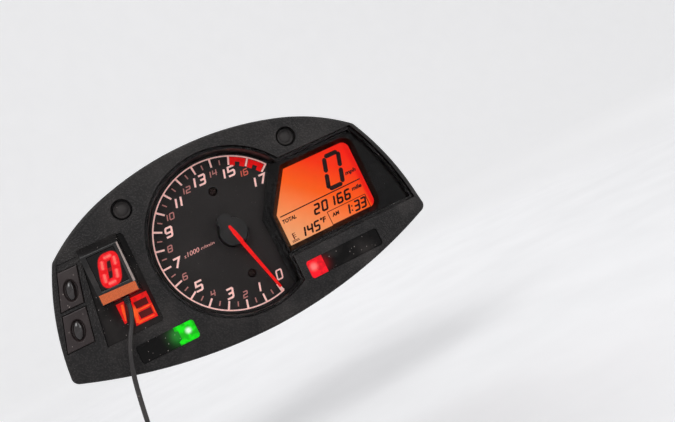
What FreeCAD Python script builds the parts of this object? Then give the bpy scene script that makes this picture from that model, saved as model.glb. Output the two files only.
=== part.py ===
import FreeCAD, Part
import Sketcher
import math
import os

# Instrument cluster of a sport motorcycle: a moulded case that holds a round
# tachometer and a liquid crystal display under one clear lens.
# Sizes are in millimetres.
#
# Every piece is drawn in the face frame: x to the rider's right, y up, z out
# of the dial towards the rider, with the dial's centre on its top face as
# zero. The last step turns each piece upright and puts it where the two lower
# mounting lugs have their centre at the origin.

doc = FreeCAD.newDocument("InstrumentCluster")
V = FreeCAD.Vector

# Driving sizes, each with a name of its own

SIZES = [
    # Levels along the depth of the case, measured from the dial's top face
    ("front_level", 15.0),
    ("joint_level", -10.0),
    ("tub_back_level", -34.0),
    ("mount_level", -38.0),
    # Walls and gaps
    ("side_wall", 1.8),
    ("edge_round", 2.0),
    ("corner_round", 5.0),
    ("lens_gap", 0.2),
    ("trim_gap", 0.2),
    ("button_gap", 0.4),
    # Outline of the face
    ("bottom_band", 11.0),
    ("bottom_radius", 332.0),
    ("tip_right_x", 123.0),
    ("tip_right_drop", 9.0),
    ("right_foot_x", 121.5),
    ("right_side_radius", 175.0),
    ("right_shoulder_x", 102.0),
    ("shoulder_radius", 125.0),
    ("crown_overhang", 5.0),
    ("crown_drop", 1.0),
    ("crown_radius", 204.5),
    ("left_shoulder_out", 51.5),
    ("left_shoulder_drop", 2.0),
    ("left_side_radius", 184.0),
    ("tip_left_out", 70.0),
    ("tip_left_drop", 11.0),
    # Opening for the dial and the display
    ("well_radius", 55.0),
    ("window_drop", 24.0),
    ("window_step_x", 27.0),
    ("window_rim", 3.0),
    # Clear lens
    ("lens_thick", 2.0),
    ("lens_drop", 1.0),
    # Inner frame that carries the dial, the display and the movement
    ("well_wall", 1.6),
    ("floor_thick", 2.0),
    ("post_radius", 3.0),
    # Dial
    ("dial_gap", 0.6),
    ("dial_thick", 1.0),
    ("dial_screw_y", 29.5),
    ("dial_screw_hole_radius", 3.05),
    ("dial_screw_head_radius", 2.75),
    ("dial_screw_head_thick", 1.4),
    ("dial_screw_shank_radius", 1.2),
    ("dial_screw_length", 6.0),
    # Movement and needle
    ("movement_width", 32.0),
    ("movement_height", 62.0),
    ("movement_depth", 14.0),
    ("shaft_radius", 1.0),
    ("shaft_clearance", 0.05),
    ("shaft_hole_radius", 2.5),
    ("bearing_depth", 11.0),
    ("shaft_end_gap", 0.5),
    ("needle_rest_angle", 165.0),
    ("needle_tip_gap", 8.0),
    ("needle_level", 5.2),
    ("needle_thick", 1.6),
    ("needle_root_width", 2.7),
    ("needle_tip_width", 1.6),
    ("cap_level", 1.5),
    ("cap_top_level", 9.0),
    ("cap_base_radius", 9.8),
    ("cap_top_radius", 8.9),
    ("cap_tail_radius", 5.0),
    ("cap_tail_distance", 8.5),
    ("cap_slot_side_gap", 0.1),
    # Display
    ("display_land_level", 8.5),
    ("display_mid_level", 6.0),
    ("display_foot_level", 3.0),
    ("glass_level", 4.5),
    ("display_left_top_x", 40.5),
    ("display_left_mid_x", 20.8),
    ("display_left_mid_y", -1.2),
    ("display_left_low_x", 22.3),
    ("display_step_width", 2.6),
    ("glass_left_x", 30.2),
    ("glass_left_y", -2.5),
    ("glass_top_left_x", 47.6),
    ("glass_head", 7.5),
    ("glass_right_x", 95.0),
    ("glass_foot", 6.5),
    ("glass_lap", 2.0),
    ("glass_corner_radius", 5.0),
    ("bevel_angle", 35.0),
    # Lamp slots, left and right of the dial's foot
    ("slot_band", 16.0),
    ("slot_height", 12.0),
    ("slot_round", 2.0),
    ("slot_lap", 1.2),
    ("slot_foot_lap", 0.4),
    ("slot_lens_thick", 2.0),
    ("slot_lens_drop", 1.2),
    ("lamp_width", 13.0),
    ("red_lamp_width", 11.5),
    ("left_slot_left_out", 29.5),
    ("left_slot_inset", 8.2),
    ("right_slot_left_x", 32.0),
    ("right_slot_right_x", 84.5),
    # Warning panel between the buttons and the dial
    ("panel_band", 7.0),
    ("panel_round", 2.5),
    ("panel_left_top_out", 35.0),
    ("panel_left_low_out", 43.5),
    ("panel_lap", 0.8),
    ("panel_lens_thick", 2.0),
    ("lamp_floor", 0.5),
    ("panel_lens_drop", 1.5),
    ("warning_width", 19.5),
    ("warning_height", 17.0),
    ("warning_side_margin", 2.5),
    ("warning_foot_margin", 4.0),
    # Buttons
    ("button_head", 6.5),
    ("button_top_left_out", 51.4),
    ("button_top_right_out", 38.4),
    ("button_split_left_out", 59.2),
    ("button_split_right_out", 44.0),
    ("button_split_y", -1.5),
    ("button_split_gap", 1.6),
    ("button_foot", 6.5),
    ("button_bottom_left_out", 65.8),
    ("button_bottom_right_out", 48.2),
    ("button_rise", 0.6),
    ("button_thick", 4.0),
    ("button_bevel", 0.5),
    ("button_bevel_angle", 45.0),
    ("ledge_height", 4.2),
    ("ledge_depth", 0.8),
    ("button_stem_radius", 2.5),
    ("upper_dome_out", 48.2),
    ("lower_dome_out", 54.2),
    ("dome_drop", 1.0),
    ("dome_length", 13.5),
    ("dome_width", 8.5),
    ("dome_rise", 2.2),
    ("dome_tilt", 16.0),
    # Round plugs in the top of the face
    ("plug_margin", 1.5),
    ("plug_rise", 10.3),
    ("plug_recess_radius", 6.6),
    ("plug_recess_depth", 4.5),
    ("plug_recess_wall", 1.8),
    ("plug_radius", 5.6),
    ("plug_thick", 2.4),
    # Rear housing
    ("gasket_thick", 1.2),
    ("gasket_width", 2.4),
    ("flange_thick", 3.0),
    ("flange_margin", 0.8),
    ("tub_inset", 15.0),
    ("tub_wall", 2.2),
    ("tub_edge_round", 4.0),
    ("lug_x", 80.0),
    ("lug_rise", 3.0),
    ("top_lug_rise", 5.0),
    ("lug_radius", 10.5),
    ("lug_front_level", -30.0),
    ("lug_rear_level", -37.0),
    ("lug_hole_radius", 6.5),
    ("grommet_radius", 9.0),
    ("grommet_front_level", -24.0),
    ("insert_radius", 4.5),
    ("insert_bore_radius", 2.5),
    ("insert_bore_length", 13.0),
    ("socket_x", 24.0),
    ("socket_y", -6.0),
    ("socket_width", 48.0),
    ("socket_height", 18.0),
    ("socket_wall", 2.0),
    ("socket_rise", 13.0),
    ("socket_base", 2.0),
    ("pin_pitch", 4.0),
    ("pin_width", 1.0),
    ("pin_length", 6.0),
    ("screw_head_radius", 3.6),
    ("screw_head_thick", 2.4),
    ("screw_shank_radius", 1.6),
    ("screw_length", 14.0),
    ("boss_radius", 3.6),
    ("screw_tip_inset", 12.0),
    ("screw_tip_rise", 3.5),
    ("screw_foot_x", 50.0),
    ("screw_foot_rise", 10.8),
    ("screw_crown_x", 30.0),
    ("screw_crown_drop", 1.0),
    ("screw_shoulder_inset", 17.0),
    ("screw_shoulder_rise", 4.7),
    ("rib_thick", 1.8),
    ("rib_rise", 2.0),
    ("rib_reach", 22.0),
    ("rib_margin", 2.0),
    ("breather_x", -38.0),
    ("breather_y", 14.0),
    ("breather_radius", 6.0),
    ("breather_neck_radius", 4.0),
    ("breather_rise", 3.0),
    ("breather_gap", 0.8),
    # Gear indicator stuck on the warning panel
    ("gear_width", 25.5),
    ("gear_height", 38.5),
    ("gear_side_margin", 3.5),
    ("gear_rise", 1.0),
    ("gear_depth", 10.0),
    ("gear_pad_thick", 1.5),
    ("gear_pad_margin", 2.5),
    ("gear_bevel_top", 6.0),
    ("gear_bevel_side", 1.0),
    ("gear_bevel_foot", 1.0),
    ("digit_window_width", 17.0),
    ("digit_window_height", 22.0),
    ("digit_window_head", 18.5),
    ("digit_window_drop", 0.6),
    ("lead_diameter", 3.0),
    ("lead_inset", 11.0),
    ("lead_level", 19.0),
    ("relief_length", 4.0),
    ("relief_radius", 2.6),
    # Lead's own plug
    ("plug_width", 11.0),
    ("plug_height", 7.0),
    ("plug_length", 18.0),
]

sheet = doc.addObject("Spreadsheet::Sheet", "Dimensions")
for row, (alias, number) in enumerate(SIZES, start=1):
    sheet.set("A%d" % row, alias)
    sheet.set("B%d" % row, "%.4f" % number)
    sheet.setAlias("B%d" % row, alias)
doc.recompute()
NAMES = {alias for alias, number in SIZES}

# Places that follow from the driving sizes: the face grows with the well

FOLLOWING = {
    "bottom_y": "-1 * well_radius - bottom_band",
    "crown_end_y": "well_radius - crown_drop",
    "crown_half_width": "well_radius + crown_overhang",
    "window_top_y": "well_radius - window_drop",
    "window_bottom_y": "window_drop - well_radius",
    "tip_right_y": "window_bottom_y - tip_right_drop",
    "tip_left_y": "window_bottom_y - tip_left_drop",
    "left_shoulder_y": "window_top_y - left_shoulder_drop",
    "dial_radius": "well_radius - lens_gap - well_wall - dial_gap",
    "needle_tip_radius": "well_radius - needle_tip_gap",
    "glass_top_y": "window_top_y - glass_head",
    "glass_bottom_y": "window_bottom_y + glass_foot",
    "slot_bottom_y": "bottom_y + slot_band",
    "slot_top_y": "slot_bottom_y + slot_height",
    "left_slot_right_x": "left_slot_inset - well_radius",
    "panel_top_y": "left_shoulder_y",
    "panel_bottom_y": "window_bottom_y",
    "panel_right_x": "-1 * well_radius - panel_band",
    "warning_right_x": "panel_right_x - warning_side_margin",
    "warning_left_x": "warning_right_x - warning_width",
    "warning_bottom_y": "panel_bottom_y + warning_foot_margin",
    "warning_top_y": "warning_bottom_y + warning_height",
    "button_top_y": "left_shoulder_y - button_head",
    "button_bottom_y": "window_bottom_y + button_foot",
    "upper_dome_y": "0.5 * button_top_y + 0.5 * button_split_y - dome_drop",
    "lower_dome_y": "0.5 * button_bottom_y + 0.5 * button_split_y - dome_drop",
    "plug_x": "well_radius + plug_margin",
    "plug_y": "window_top_y + plug_rise",
    "lug_y": "window_bottom_y + lug_rise",
    "top_lug_y": "window_top_y + top_lug_rise",
    "gear_right_x": "panel_right_x - gear_side_margin",
    "gear_left_x": "gear_right_x - gear_width",
    "gear_top_y": "panel_top_y + gear_rise",
    "gear_bottom_y": "gear_top_y - gear_height",
    "digit_window_y": "gear_top_y - digit_window_head",
    "lead_x": "gear_right_x - lead_inset",
}
LEFT_OF_THE_WELL = [
    "left_shoulder", "tip_left", "left_slot_left", "panel_left_top", "panel_left_low",
    "button_top_left", "button_top_right", "button_split_left", "button_split_right",
    "button_bottom_left", "button_bottom_right", "upper_dome", "lower_dome",
]
for place in LEFT_OF_THE_WELL:
    FOLLOWING[place + "_x"] = "-1 * well_radius - " + place + "_out"


def formula(text):
    """The text with each size's name written as a reference to its cell."""
    words = []
    for word in text.replace("(", " ( ").replace(")", " ) ").split():
        if word in FOLLOWING:
            words.append("(" + formula(FOLLOWING[word]) + ")")
        else:
            words.append("Dimensions." + word if word in NAMES else word)
    return " ".join(words)


def amount(text):
    """What a sum of sizes comes to now; terms may be products, with no brackets."""
    total = 0.0
    sign = 1.0
    product = None
    factor_next = False
    for word in text.split():
        if word in ("+", "-"):
            total += sign * product if product is not None else 0.0
            sign = 1.0 if word == "+" else -1.0
            product = None
        elif word == "*":
            factor_next = True
        else:
            if word in FOLLOWING:
                number = amount(FOLLOWING[word])
            else:
                number = float(sheet.get(word)) if word in NAMES else float(word)
            product = product * number if factor_next else number
            factor_next = False
    return total + sign * product


def bind(item, **properties):
    """Ties properties of an object to sums of named sizes."""
    for name, text in properties.items():
        item.setExpression(name.replace("__", "."), formula(text))
    return item


# Sketches

def origin_plane(body):
    return [item for item in body.Origin.OriginFeatures if item.Role == "XY_Plane"][0]


def new_sketch(name, body=None, level=None):
    """An empty sketch in the face plane, at a level if it belongs to a body."""
    if body is None:
        return doc.addObject("Sketcher::SketchObject", name)
    sketch = body.newObject("Sketcher::SketchObject", name)
    sketch.AttachmentSupport = [(origin_plane(body), "")]
    sketch.MapMode = "FlatFace"
    if level is not None:
        sketch.setExpression(".AttachmentOffset.Base.z", formula(level))
    return sketch


def pin_point(sketch, edge, end, x_text, y_text):
    """Holds one end of an edge at a named place."""
    for kind, text in (("DistanceX", x_text), ("DistanceY", y_text)):
        if text is None:
            continue
        index = sketch.addConstraint(
            Sketcher.Constraint(kind, -1, 1, edge, end, amount(text)))
        sketch.setExpression("Constraints[%d]" % index, formula(text))


def pin_radius(sketch, edge, text):
    index = sketch.addConstraint(Sketcher.Constraint("Radius", edge, amount(text)))
    sketch.setExpression("Constraints[%d]" % index, formula(text))


def arc_between(start, end, radius):
    """The short arc from start to end that bulges to the right of its way."""
    chord = end - start
    half = chord.Length / 2.0
    height = math.sqrt(radius * radius - half * half)
    left = V(-chord.y, chord.x, 0.0)
    left.normalize()
    centre = (start + end) * 0.5 + left * height
    first = math.atan2(start.y - centre.y, start.x - centre.x)
    last = math.atan2(end.y - centre.y, end.x - centre.x)
    return Part.ArcOfCircle(Part.Circle(centre, V(0, 0, 1), radius), first, last)


def outline(name, corners, body=None, level=None):
    """A closed outline, anticlockwise. Each corner is x, y and the radius of
    the arc that leads to the next corner, or None for a straight edge."""
    sketch = new_sketch(name, body, level)
    points = [V(amount(x), amount(y), 0.0) for x, y, radius in corners]
    count = len(corners)
    for index in range(count):
        start = points[index]
        end = points[(index + 1) % count]
        radius = corners[index][2]
        if radius is None:
            sketch.addGeometry(Part.LineSegment(start, end), False)
        else:
            sketch.addGeometry(arc_between(start, end, amount(radius)), False)
    for index in range(count):
        sketch.addConstraint(
            Sketcher.Constraint("Coincident", index, 2, (index + 1) % count, 1))
    for index, (x, y, radius) in enumerate(corners):
        pin_point(sketch, index, 1, x, y)
        if radius is not None:
            pin_radius(sketch, index, radius)
    return sketch


def circles(name, rows, body=None, level=None):
    """Circles, each given as x, y and radius."""
    sketch = new_sketch(name, body, level)
    for index, (x, y, radius) in enumerate(rows):
        centre = V(amount(x), amount(y), 0.0)
        sketch.addGeometry(Part.Circle(centre, V(0, 0, 1), amount(radius)), False)
        pin_point(sketch, index, 3, x, y)
        pin_radius(sketch, index, radius)
    return sketch


def rounded_rectangle(left, bottom, right, top, radius):
    return [
        (left + " + " + radius, bottom, None),
        (right + " - " + radius, bottom, radius),
        (right, bottom + " + " + radius, None),
        (right, top + " - " + radius, radius),
        (right + " - " + radius, top, None),
        (left + " + " + radius, top, radius),
        (left, top + " - " + radius, None),
        (left, bottom + " + " + radius, radius),
    ]


def well_outline(name, body=None, level=None):
    """The opening: a round well for the dial, run together with the window of
    the display, whose right edge follows the side of the case."""
    sketch = new_sketch(name, body, level)
    radius = amount("well_radius")
    top = amount("window_top_y")
    bottom = amount("window_bottom_y")
    step = amount("window_step_x")
    low = V(step, -math.sqrt(radius * radius - step * step), 0.0)
    high = V(math.sqrt(radius * radius - top * top), top, 0.0)
    foot = V(amount("right_foot_x - window_rim"), bottom, 0.0)
    shoulder = V(amount("right_shoulder_x - window_rim"), top, 0.0)
    corner = V(step, bottom, 0.0)
    first = math.atan2(high.y, high.x)
    last = math.atan2(low.y, low.x)
    sketch.addGeometry(Part.LineSegment(corner, foot), False)
    sketch.addGeometry(arc_between(foot, shoulder, amount("right_side_radius")), False)
    sketch.addGeometry(Part.LineSegment(shoulder, high), False)
    sketch.addGeometry(
        Part.ArcOfCircle(Part.Circle(V(0, 0, 0), V(0, 0, 1), radius), first, last), False)
    sketch.addGeometry(Part.LineSegment(low, corner), False)
    for index in range(5):
        sketch.addConstraint(
            Sketcher.Constraint("Coincident", index, 2, (index + 1) % 5, 1))
    pin_point(sketch, 0, 1, "window_step_x", "window_bottom_y")
    pin_point(sketch, 1, 1, "right_foot_x - window_rim", "window_bottom_y")
    pin_point(sketch, 2, 1, "right_shoulder_x - window_rim", "window_top_y")
    pin_radius(sketch, 1, "right_side_radius")
    sketch.addConstraint(Sketcher.Constraint("Coincident", 3, 3, -1, 1))
    pin_radius(sketch, 3, "well_radius")
    pin_point(sketch, 3, 1, None, "window_top_y")
    pin_point(sketch, 4, 1, "window_step_x", None)
    return sketch


# Solids

def slab(name, profile, low, high):
    """A flat profile carried from one level to another."""
    solid = doc.addObject("Part::Extrusion", name)
    solid.Base = profile
    solid.DirMode = "Custom"
    solid.Dir = V(0, 0, 1)
    solid.Solid = True
    bind(solid, LengthFwd="(" + high + ") - (" + low + ")")
    solid.setExpression("Placement.Base.z", formula(low))
    return solid


def offset(name, profile, distance):
    """The profile grown by a distance, or shrunk by a negative one."""
    item = doc.addObject("Part::Offset2D", name)
    item.Source = profile
    item.Mode = "Pipe"
    item.Join = "Arc"
    bind(item, Value=distance)
    return item


def cylinder(name, x, y, low, high, radius):
    solid = doc.addObject("Part::Cylinder", name)
    bind(solid, Radius=radius, Height="(" + high + ") - (" + low + ")")
    bind(solid, Placement__Base__x=x, Placement__Base__y=y, Placement__Base__z=low)
    return solid


def block(name, left, bottom, low, right, top, high):
    solid = doc.addObject("Part::Box", name)
    bind(solid, Length="(" + right + ") - (" + left + ")")
    bind(solid, Width="(" + top + ") - (" + bottom + ")")
    bind(solid, Height="(" + high + ") - (" + low + ")")
    bind(solid, Placement__Base__x=left, Placement__Base__y=bottom, Placement__Base__z=low)
    return solid


def cut(name, base, *tools):
    for index, tool in enumerate(tools):
        result = doc.addObject("Part::Cut", "%s_%d" % (name, index + 1))
        result.Base = base
        result.Tool = tool
        base = result
    return base


def join(name, *pieces):
    result = doc.addObject("Part::MultiFuse", name)
    result.Shapes = list(pieces)
    return result


def common(name, first, second):
    result = doc.addObject("Part::Common", name)
    result.Base = first
    result.Tool = second
    return result


nodes = []


def stand_upright(item):
    """Turns a finished piece from the face frame into the upright frame."""
    item.Placement = FreeCAD.Placement(V(0, 0, 0), FreeCAD.Rotation(V(1, 0, 0), 90.0))
    bind(item, Placement__Base__y="mount_level", Placement__Base__z="-1 * lug_y")


def node(label, *pieces):
    """A finished sub-part made of one or more separate solids."""
    group = doc.addObject("Part::Compound", label)
    group.Links = list(pieces)
    group.Label = label
    stand_upright(group)
    nodes.append(group)
    return group


def body_node(body, label):
    body.Label = label
    stand_upright(body)
    nodes.append(body)


# Features of the moulded cases

def new_body(name):
    return doc.addObject("PartDesign::Body", name)


def pad(body, name, sketch, length):
    feature = body.newObject("PartDesign::Pad", name)
    feature.Profile = sketch
    bind(feature, Length=length)
    doc.recompute()
    return feature


def pocket(body, name, sketch, length, upward=False):
    feature = body.newObject("PartDesign::Pocket", name)
    feature.Profile = sketch
    feature.Reversed = upward
    bind(feature, Length=length)
    before = body.Shape.Volume
    doc.recompute()
    if body.Shape.Volume > before - 1.0:
        raise RuntimeError(name + " removes nothing")
    return feature


def edges_where(shape, test):
    return ["Edge%d" % (index + 1) for index, edge in enumerate(shape.Edges) if test(edge)]


def at_level(level):
    """Tests for an edge that lies wholly at one level."""
    return lambda edge: (abs(edge.BoundBox.ZMin - level) < 0.01
                         and abs(edge.BoundBox.ZMax - level) < 0.01)


def upright_at(points):
    """Tests for an edge along the depth that stands at one of the points."""
    def test(edge):
        box = edge.BoundBox
        if box.ZLength < 1.0 or box.XLength > 0.01 or box.YLength > 0.01:
            return False
        return any(math.hypot(box.XMin - x, box.YMin - y) < 0.05 for x, y in points)
    return test


def fillet(body, name, base, test, radius):
    feature = body.newObject("PartDesign::Fillet", name)
    feature.Base = (base, edges_where(base.Shape, test))
    bind(feature, Radius=radius)
    doc.recompute()
    return feature


# Outline of the face, from the middle of its lower edge

FACE = [
    ("0", "bottom_y", "bottom_radius"),
    ("tip_right_x", "tip_right_y", None),
    ("right_foot_x", "window_bottom_y", "right_side_radius"),
    ("right_shoulder_x", "window_top_y", "shoulder_radius"),
    ("crown_half_width", "crown_end_y", "crown_radius"),
    ("-1 * crown_half_width", "crown_end_y", "shoulder_radius"),
    ("left_shoulder_x", "left_shoulder_y", "left_side_radius"),
    ("tip_left_x", "tip_left_y", "bottom_radius"),
]
ROUNDED_CORNERS = FACE[1:]

# Buttons: two slanted plates, one above the other

UPPER_BUTTON = [
    ("button_split_left_x", "button_split_y + 0.5 * button_split_gap", None),
    ("button_split_right_x", "button_split_y + 0.5 * button_split_gap", None),
    ("button_top_right_x", "button_top_y", None),
    ("button_top_left_x", "button_top_y", None),
]
LOWER_BUTTON = [
    ("button_bottom_left_x", "button_bottom_y", None),
    ("button_bottom_right_x", "button_bottom_y", None),
    ("button_split_right_x", "button_split_y - 0.5 * button_split_gap", None),
    ("button_split_left_x", "button_split_y - 0.5 * button_split_gap", None),
]
WARNING_PANEL = [
    ("panel_left_low_x", "panel_bottom_y", None),
    ("panel_right_x - panel_round", "panel_bottom_y", "panel_round"),
    ("panel_right_x", "panel_bottom_y + panel_round", None),
    ("panel_right_x", "panel_top_y - panel_round", "panel_round"),
    ("panel_right_x - panel_round", "panel_top_y", None),
    ("panel_left_top_x", "panel_top_y", None),
]

# Places of the case screws: x and y

CASE_SCREWS = [
    ("tip_left_x + screw_tip_inset", "tip_left_y + screw_tip_rise"),
    ("-1 * screw_foot_x", "bottom_y + screw_foot_rise"),
    ("screw_foot_x", "bottom_y + screw_foot_rise"),
    ("tip_right_x - screw_tip_inset", "tip_right_y + screw_tip_rise"),
    ("right_shoulder_x - screw_shoulder_inset", "window_top_y + screw_shoulder_rise"),
    ("screw_crown_x", "crown_end_y - screw_crown_drop"),
    ("-1 * screw_crown_x", "crown_end_y - screw_crown_drop"),
    ("left_shoulder_x + screw_shoulder_inset", "left_shoulder_y + screw_shoulder_rise"),
]

# Ledge sunk into the face above the upper button

LEDGE = [
    ("button_top_left_x", "button_top_y", None),
    ("button_top_right_x", "button_top_y", None),
    ("button_top_right_x + 0.25 * ledge_height", "button_top_y + ledge_height", None),
    ("button_top_left_x + 0.35 * ledge_height", "button_top_y + ledge_height", None),
]

# Levels that follow from others

SKIN_BACK = "front_level - side_wall"
LENS_TOP = "front_level - lens_drop"
LENS_BACK = "front_level - lens_drop - lens_thick"
FLOOR_TOP = "-1 * dial_thick"
FLOOR_BACK = "-1 * dial_thick - floor_thick"
FLANGE_FRONT = "joint_level - gasket_thick"
FLANGE_BACK = "joint_level - gasket_thick - flange_thick"
TUB_FLOOR = "tub_back_level + tub_wall"

# Front case: the face with its side walls, open at the back

front = new_body("FrontCase")
face = outline("face_outline", FACE, front, "joint_level")
face_pad = pad(front, "face_pad", face, "front_level - joint_level")
corner_points = [(amount(x), amount(y)) for x, y, radius in ROUNDED_CORNERS]
rounded_corners = fillet(front, "face_corners", face_pad, upright_at(corner_points), "corner_round")
rounded = fillet(front, "face_edge", rounded_corners, at_level(amount("front_level")), "edge_round")
shell = front.newObject("PartDesign::Thickness", "case_shell")
rear_faces = ["Face%d" % (index + 1) for index, side in enumerate(rounded.Shape.Faces)
              if abs(side.BoundBox.ZMax - amount("joint_level")) < 0.01]
shell.Base = (rounded, rear_faces)
shell.Reversed = True
bind(shell, Value="side_wall")
doc.recompute()

PLUGS = [("-1 * plug_x", "plug_y"), ("plug_x", "plug_y")]
cup_level = "front_level - plug_recess_depth - plug_recess_wall"
cups = circles("plug_cups", [(x, y, "plug_recess_radius + plug_recess_wall") for x, y in PLUGS],
               front, cup_level)
pad(front, "plug_cup", cups, "plug_recess_depth + plug_recess_wall - 0.5 * side_wall")
bosses = circles("screw_bosses", [(x, y, "boss_radius") for x, y in CASE_SCREWS],
                 front, FLANGE_FRONT)
pad(front, "screw_boss", bosses, "front_level - 0.5 * side_wall - joint_level + gasket_thick")
holes = circles("screw_holes", [(x, y, "screw_shank_radius") for x, y in CASE_SCREWS],
                front, FLANGE_FRONT)
pocket(front, "screw_hole", holes, "screw_length", True)
recess = circles("plug_recesses", [(x, y, "plug_recess_radius") for x, y in PLUGS],
                 front, "front_level")
pocket(front, "plug_recess", recess, "plug_recess_depth")

ledge = outline("ledge_outline", LEDGE, front, "front_level")
pocket(front, "button_ledge", ledge, "ledge_depth")
through = "front_level - joint_level"
well = well_outline("well_outline", front, "joint_level")
pocket(front, "well_opening", well, through, True)
LEFT_SLOT = rounded_rectangle("left_slot_left_x", "slot_bottom_y", "left_slot_right_x",
                              "slot_top_y", "slot_round")
RIGHT_SLOT = rounded_rectangle("right_slot_left_x", "slot_bottom_y", "right_slot_right_x",
                               "slot_top_y", "slot_round")
OPENINGS = [
    ("upper_button_opening", UPPER_BUTTON),
    ("lower_button_opening", LOWER_BUTTON),
    ("warning_panel_opening", WARNING_PANEL),
    ("left_slot_opening", LEFT_SLOT),
    ("right_slot_opening", RIGHT_SLOT),
]
for name, corner_rows in OPENINGS:
    sketch = outline(name + "_outline", corner_rows, front, "joint_level")
    pocket(front, name, sketch, through, True)
body_node(front, "front_case")

# Clear lens in the opening, on the rim of the inner frame

well_profile = well_outline("well_profile")
lens_profile = offset("lens_profile", well_profile, "-1 * lens_gap")
hollow_profile = offset("hollow_profile", well_profile, "-1 * lens_gap - well_wall")
node("lens", slab("lens_plate", lens_profile, LENS_BACK, LENS_TOP))

# Inner frame: a tray with a wall round the opening, on four posts

POSTS = [
    ("-0.7 * well_radius", "-0.4 * well_radius"),
    ("-0.7 * well_radius", "0.45 * well_radius"),
    ("display_left_top_x", "window_bottom_y + 3 * post_radius"),
    ("glass_right_x - 5.5 * post_radius", "window_top_y - 4 * post_radius"),
]
tray = slab("tray", lens_profile, FLOOR_BACK, LENS_BACK)
hollow = slab("tray_hollow", hollow_profile, FLOOR_TOP, LENS_BACK)
SCREW_SEAT = "-1 * dial_thick - dial_screw_head_thick"
DIAL_SCREWS = [("0", "dial_screw_y"), ("0", "-1 * dial_screw_y")]
shaft_hole = cylinder("tray_shaft_hole", "0", "0", FLOOR_BACK, FLOOR_TOP, "shaft_hole_radius")
seats = join("tray_screw_seats", *[
    cylinder("tray_screw_seat", x, y, SCREW_SEAT, FLOOR_TOP, "dial_screw_hole_radius")
    for x, y in DIAL_SCREWS])
drills = join("tray_screw_holes", *[
    cylinder("tray_screw_hole", x, y, FLOOR_BACK, FLOOR_TOP, "dial_screw_shank_radius")
    for x, y in DIAL_SCREWS])
tray_open = cut("inner_tray", tray, hollow, shaft_hole, seats, drills)
posts = [cylinder("post", x, y, TUB_FLOOR, FLOOR_BACK, "post_radius") for x, y in POSTS]
node("inner_frame", join("tray_on_posts", tray_open, *posts))

# Display frame: three steps down to the dial on its left, a bevelled window


def display_step(name, steps, low, high):
    """One step of the display frame, moved right by a number of step widths."""
    shift = " + %d * display_step_width" % steps
    rows = [
        ("display_left_low_x" + shift, "-1 * well_radius", None),
        ("right_foot_x", "-1 * well_radius", None),
        ("right_foot_x", "window_top_y", None),
        ("display_left_top_x" + shift, "window_top_y", None),
        ("display_left_mid_x" + shift, "display_left_mid_y", None),
    ]
    return slab(name, outline(name + "_outline", rows), low, high)


steps = join("display_steps",
             display_step("display_foot", 0, FLOOR_TOP, "display_foot_level"),
             display_step("display_middle", 1, "display_foot_level", "display_mid_level"),
             display_step("display_land", 2, "display_mid_level", "display_land_level"))
inside_well = slab("inside_well", hollow_profile, FLOOR_TOP, "display_land_level")
GLASS = [
    ("glass_left_x", "glass_bottom_y", None),
    ("glass_right_x - glass_corner_radius", "glass_bottom_y", "glass_corner_radius"),
    ("glass_right_x", "glass_bottom_y + glass_corner_radius", None),
    ("glass_right_x", "glass_top_y - glass_corner_radius", "glass_corner_radius"),
    ("glass_right_x - glass_corner_radius", "glass_top_y", None),
    ("glass_top_left_x", "glass_top_y", None),
    ("glass_left_x", "glass_left_y", None),
]
glass_profile = outline("glass_profile", GLASS)
window_cut = slab("display_window", glass_profile, "glass_level", "display_land_level")
bind(window_cut, TaperAngle="bevel_angle")
module_cut = slab("module_space", offset("module_space_profile", glass_profile, "glass_lap"),
                  FLOOR_TOP, "glass_level")
display = cut("display_body", common("display_in_well", steps, inside_well), window_cut, module_cut)
node("display_frame", display)
node("display_panel", slab("display_module",
                           offset("module_profile", glass_profile, "glass_lap - trim_gap"),
                           FLOOR_TOP, "glass_level"))

# Dial, cut short on its right by the foot of the display frame

dial_disc = cylinder("dial_disc", "0", "0", FLOOR_TOP, "0", "dial_radius")
dial_shaft_hole = cylinder("dial_shaft_hole", "0", "0", FLOOR_TOP, "0", "shaft_hole_radius")
dial_holes = join("dial_screw_holes", *[
    cylinder("dial_screw_hole", x, y, FLOOR_TOP, "0", "dial_screw_hole_radius")
    for x, y in DIAL_SCREWS])
dial_limit = display_step("dial_limit", 0, FLOOR_TOP, "0")
node("dial", cut("dial_plate", dial_disc, dial_shaft_hole, dial_holes, dial_limit))
screws = []
for x, y in DIAL_SCREWS:
    head = cylinder("dial_screw_head", x, y, SCREW_SEAT, FLOOR_TOP, "dial_screw_head_radius")
    shank = cylinder("dial_screw_shank", x, y, SCREW_SEAT + " - dial_screw_length", SCREW_SEAT,
                     "dial_screw_shank_radius")
    screws.append(join("dial_screw", head, shank))
node("dial_screws", *screws)

# Movement: the needle's motor, a block behind the floor

MOVEMENT_BACK = FLOOR_BACK + " - movement_depth"
movement = block("movement_block", "-0.5 * movement_width", "-0.5 * movement_height", MOVEMENT_BACK,
                 "0.5 * movement_width", "0.5 * movement_height", FLOOR_BACK)
bearing = cylinder("movement_bearing", "0", "0", FLOOR_BACK + " - bearing_depth", FLOOR_BACK,
                   "shaft_radius + shaft_clearance")
threads = join("movement_threads", *[
    cylinder("movement_thread", x, y, SCREW_SEAT + " - dial_screw_length", FLOOR_BACK,
             "dial_screw_shank_radius")
    for x, y in DIAL_SCREWS])
node("movement", cut("movement_body", movement, bearing, threads))

# Needle: drawn pointing up, then turned to its rest beside zero


def turned(name, item):
    """A piece of the needle, turned clockwise from pointing up to its rest."""
    group = doc.addObject("Part::Compound", name)
    group.Links = [item]
    group.Placement = FreeCAD.Placement(V(0, 0, 0), FreeCAD.Rotation(V(0, 0, 1), -90.0))
    bind(group, Placement__Rotation__Angle="-1 * needle_rest_angle")
    return group


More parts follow.
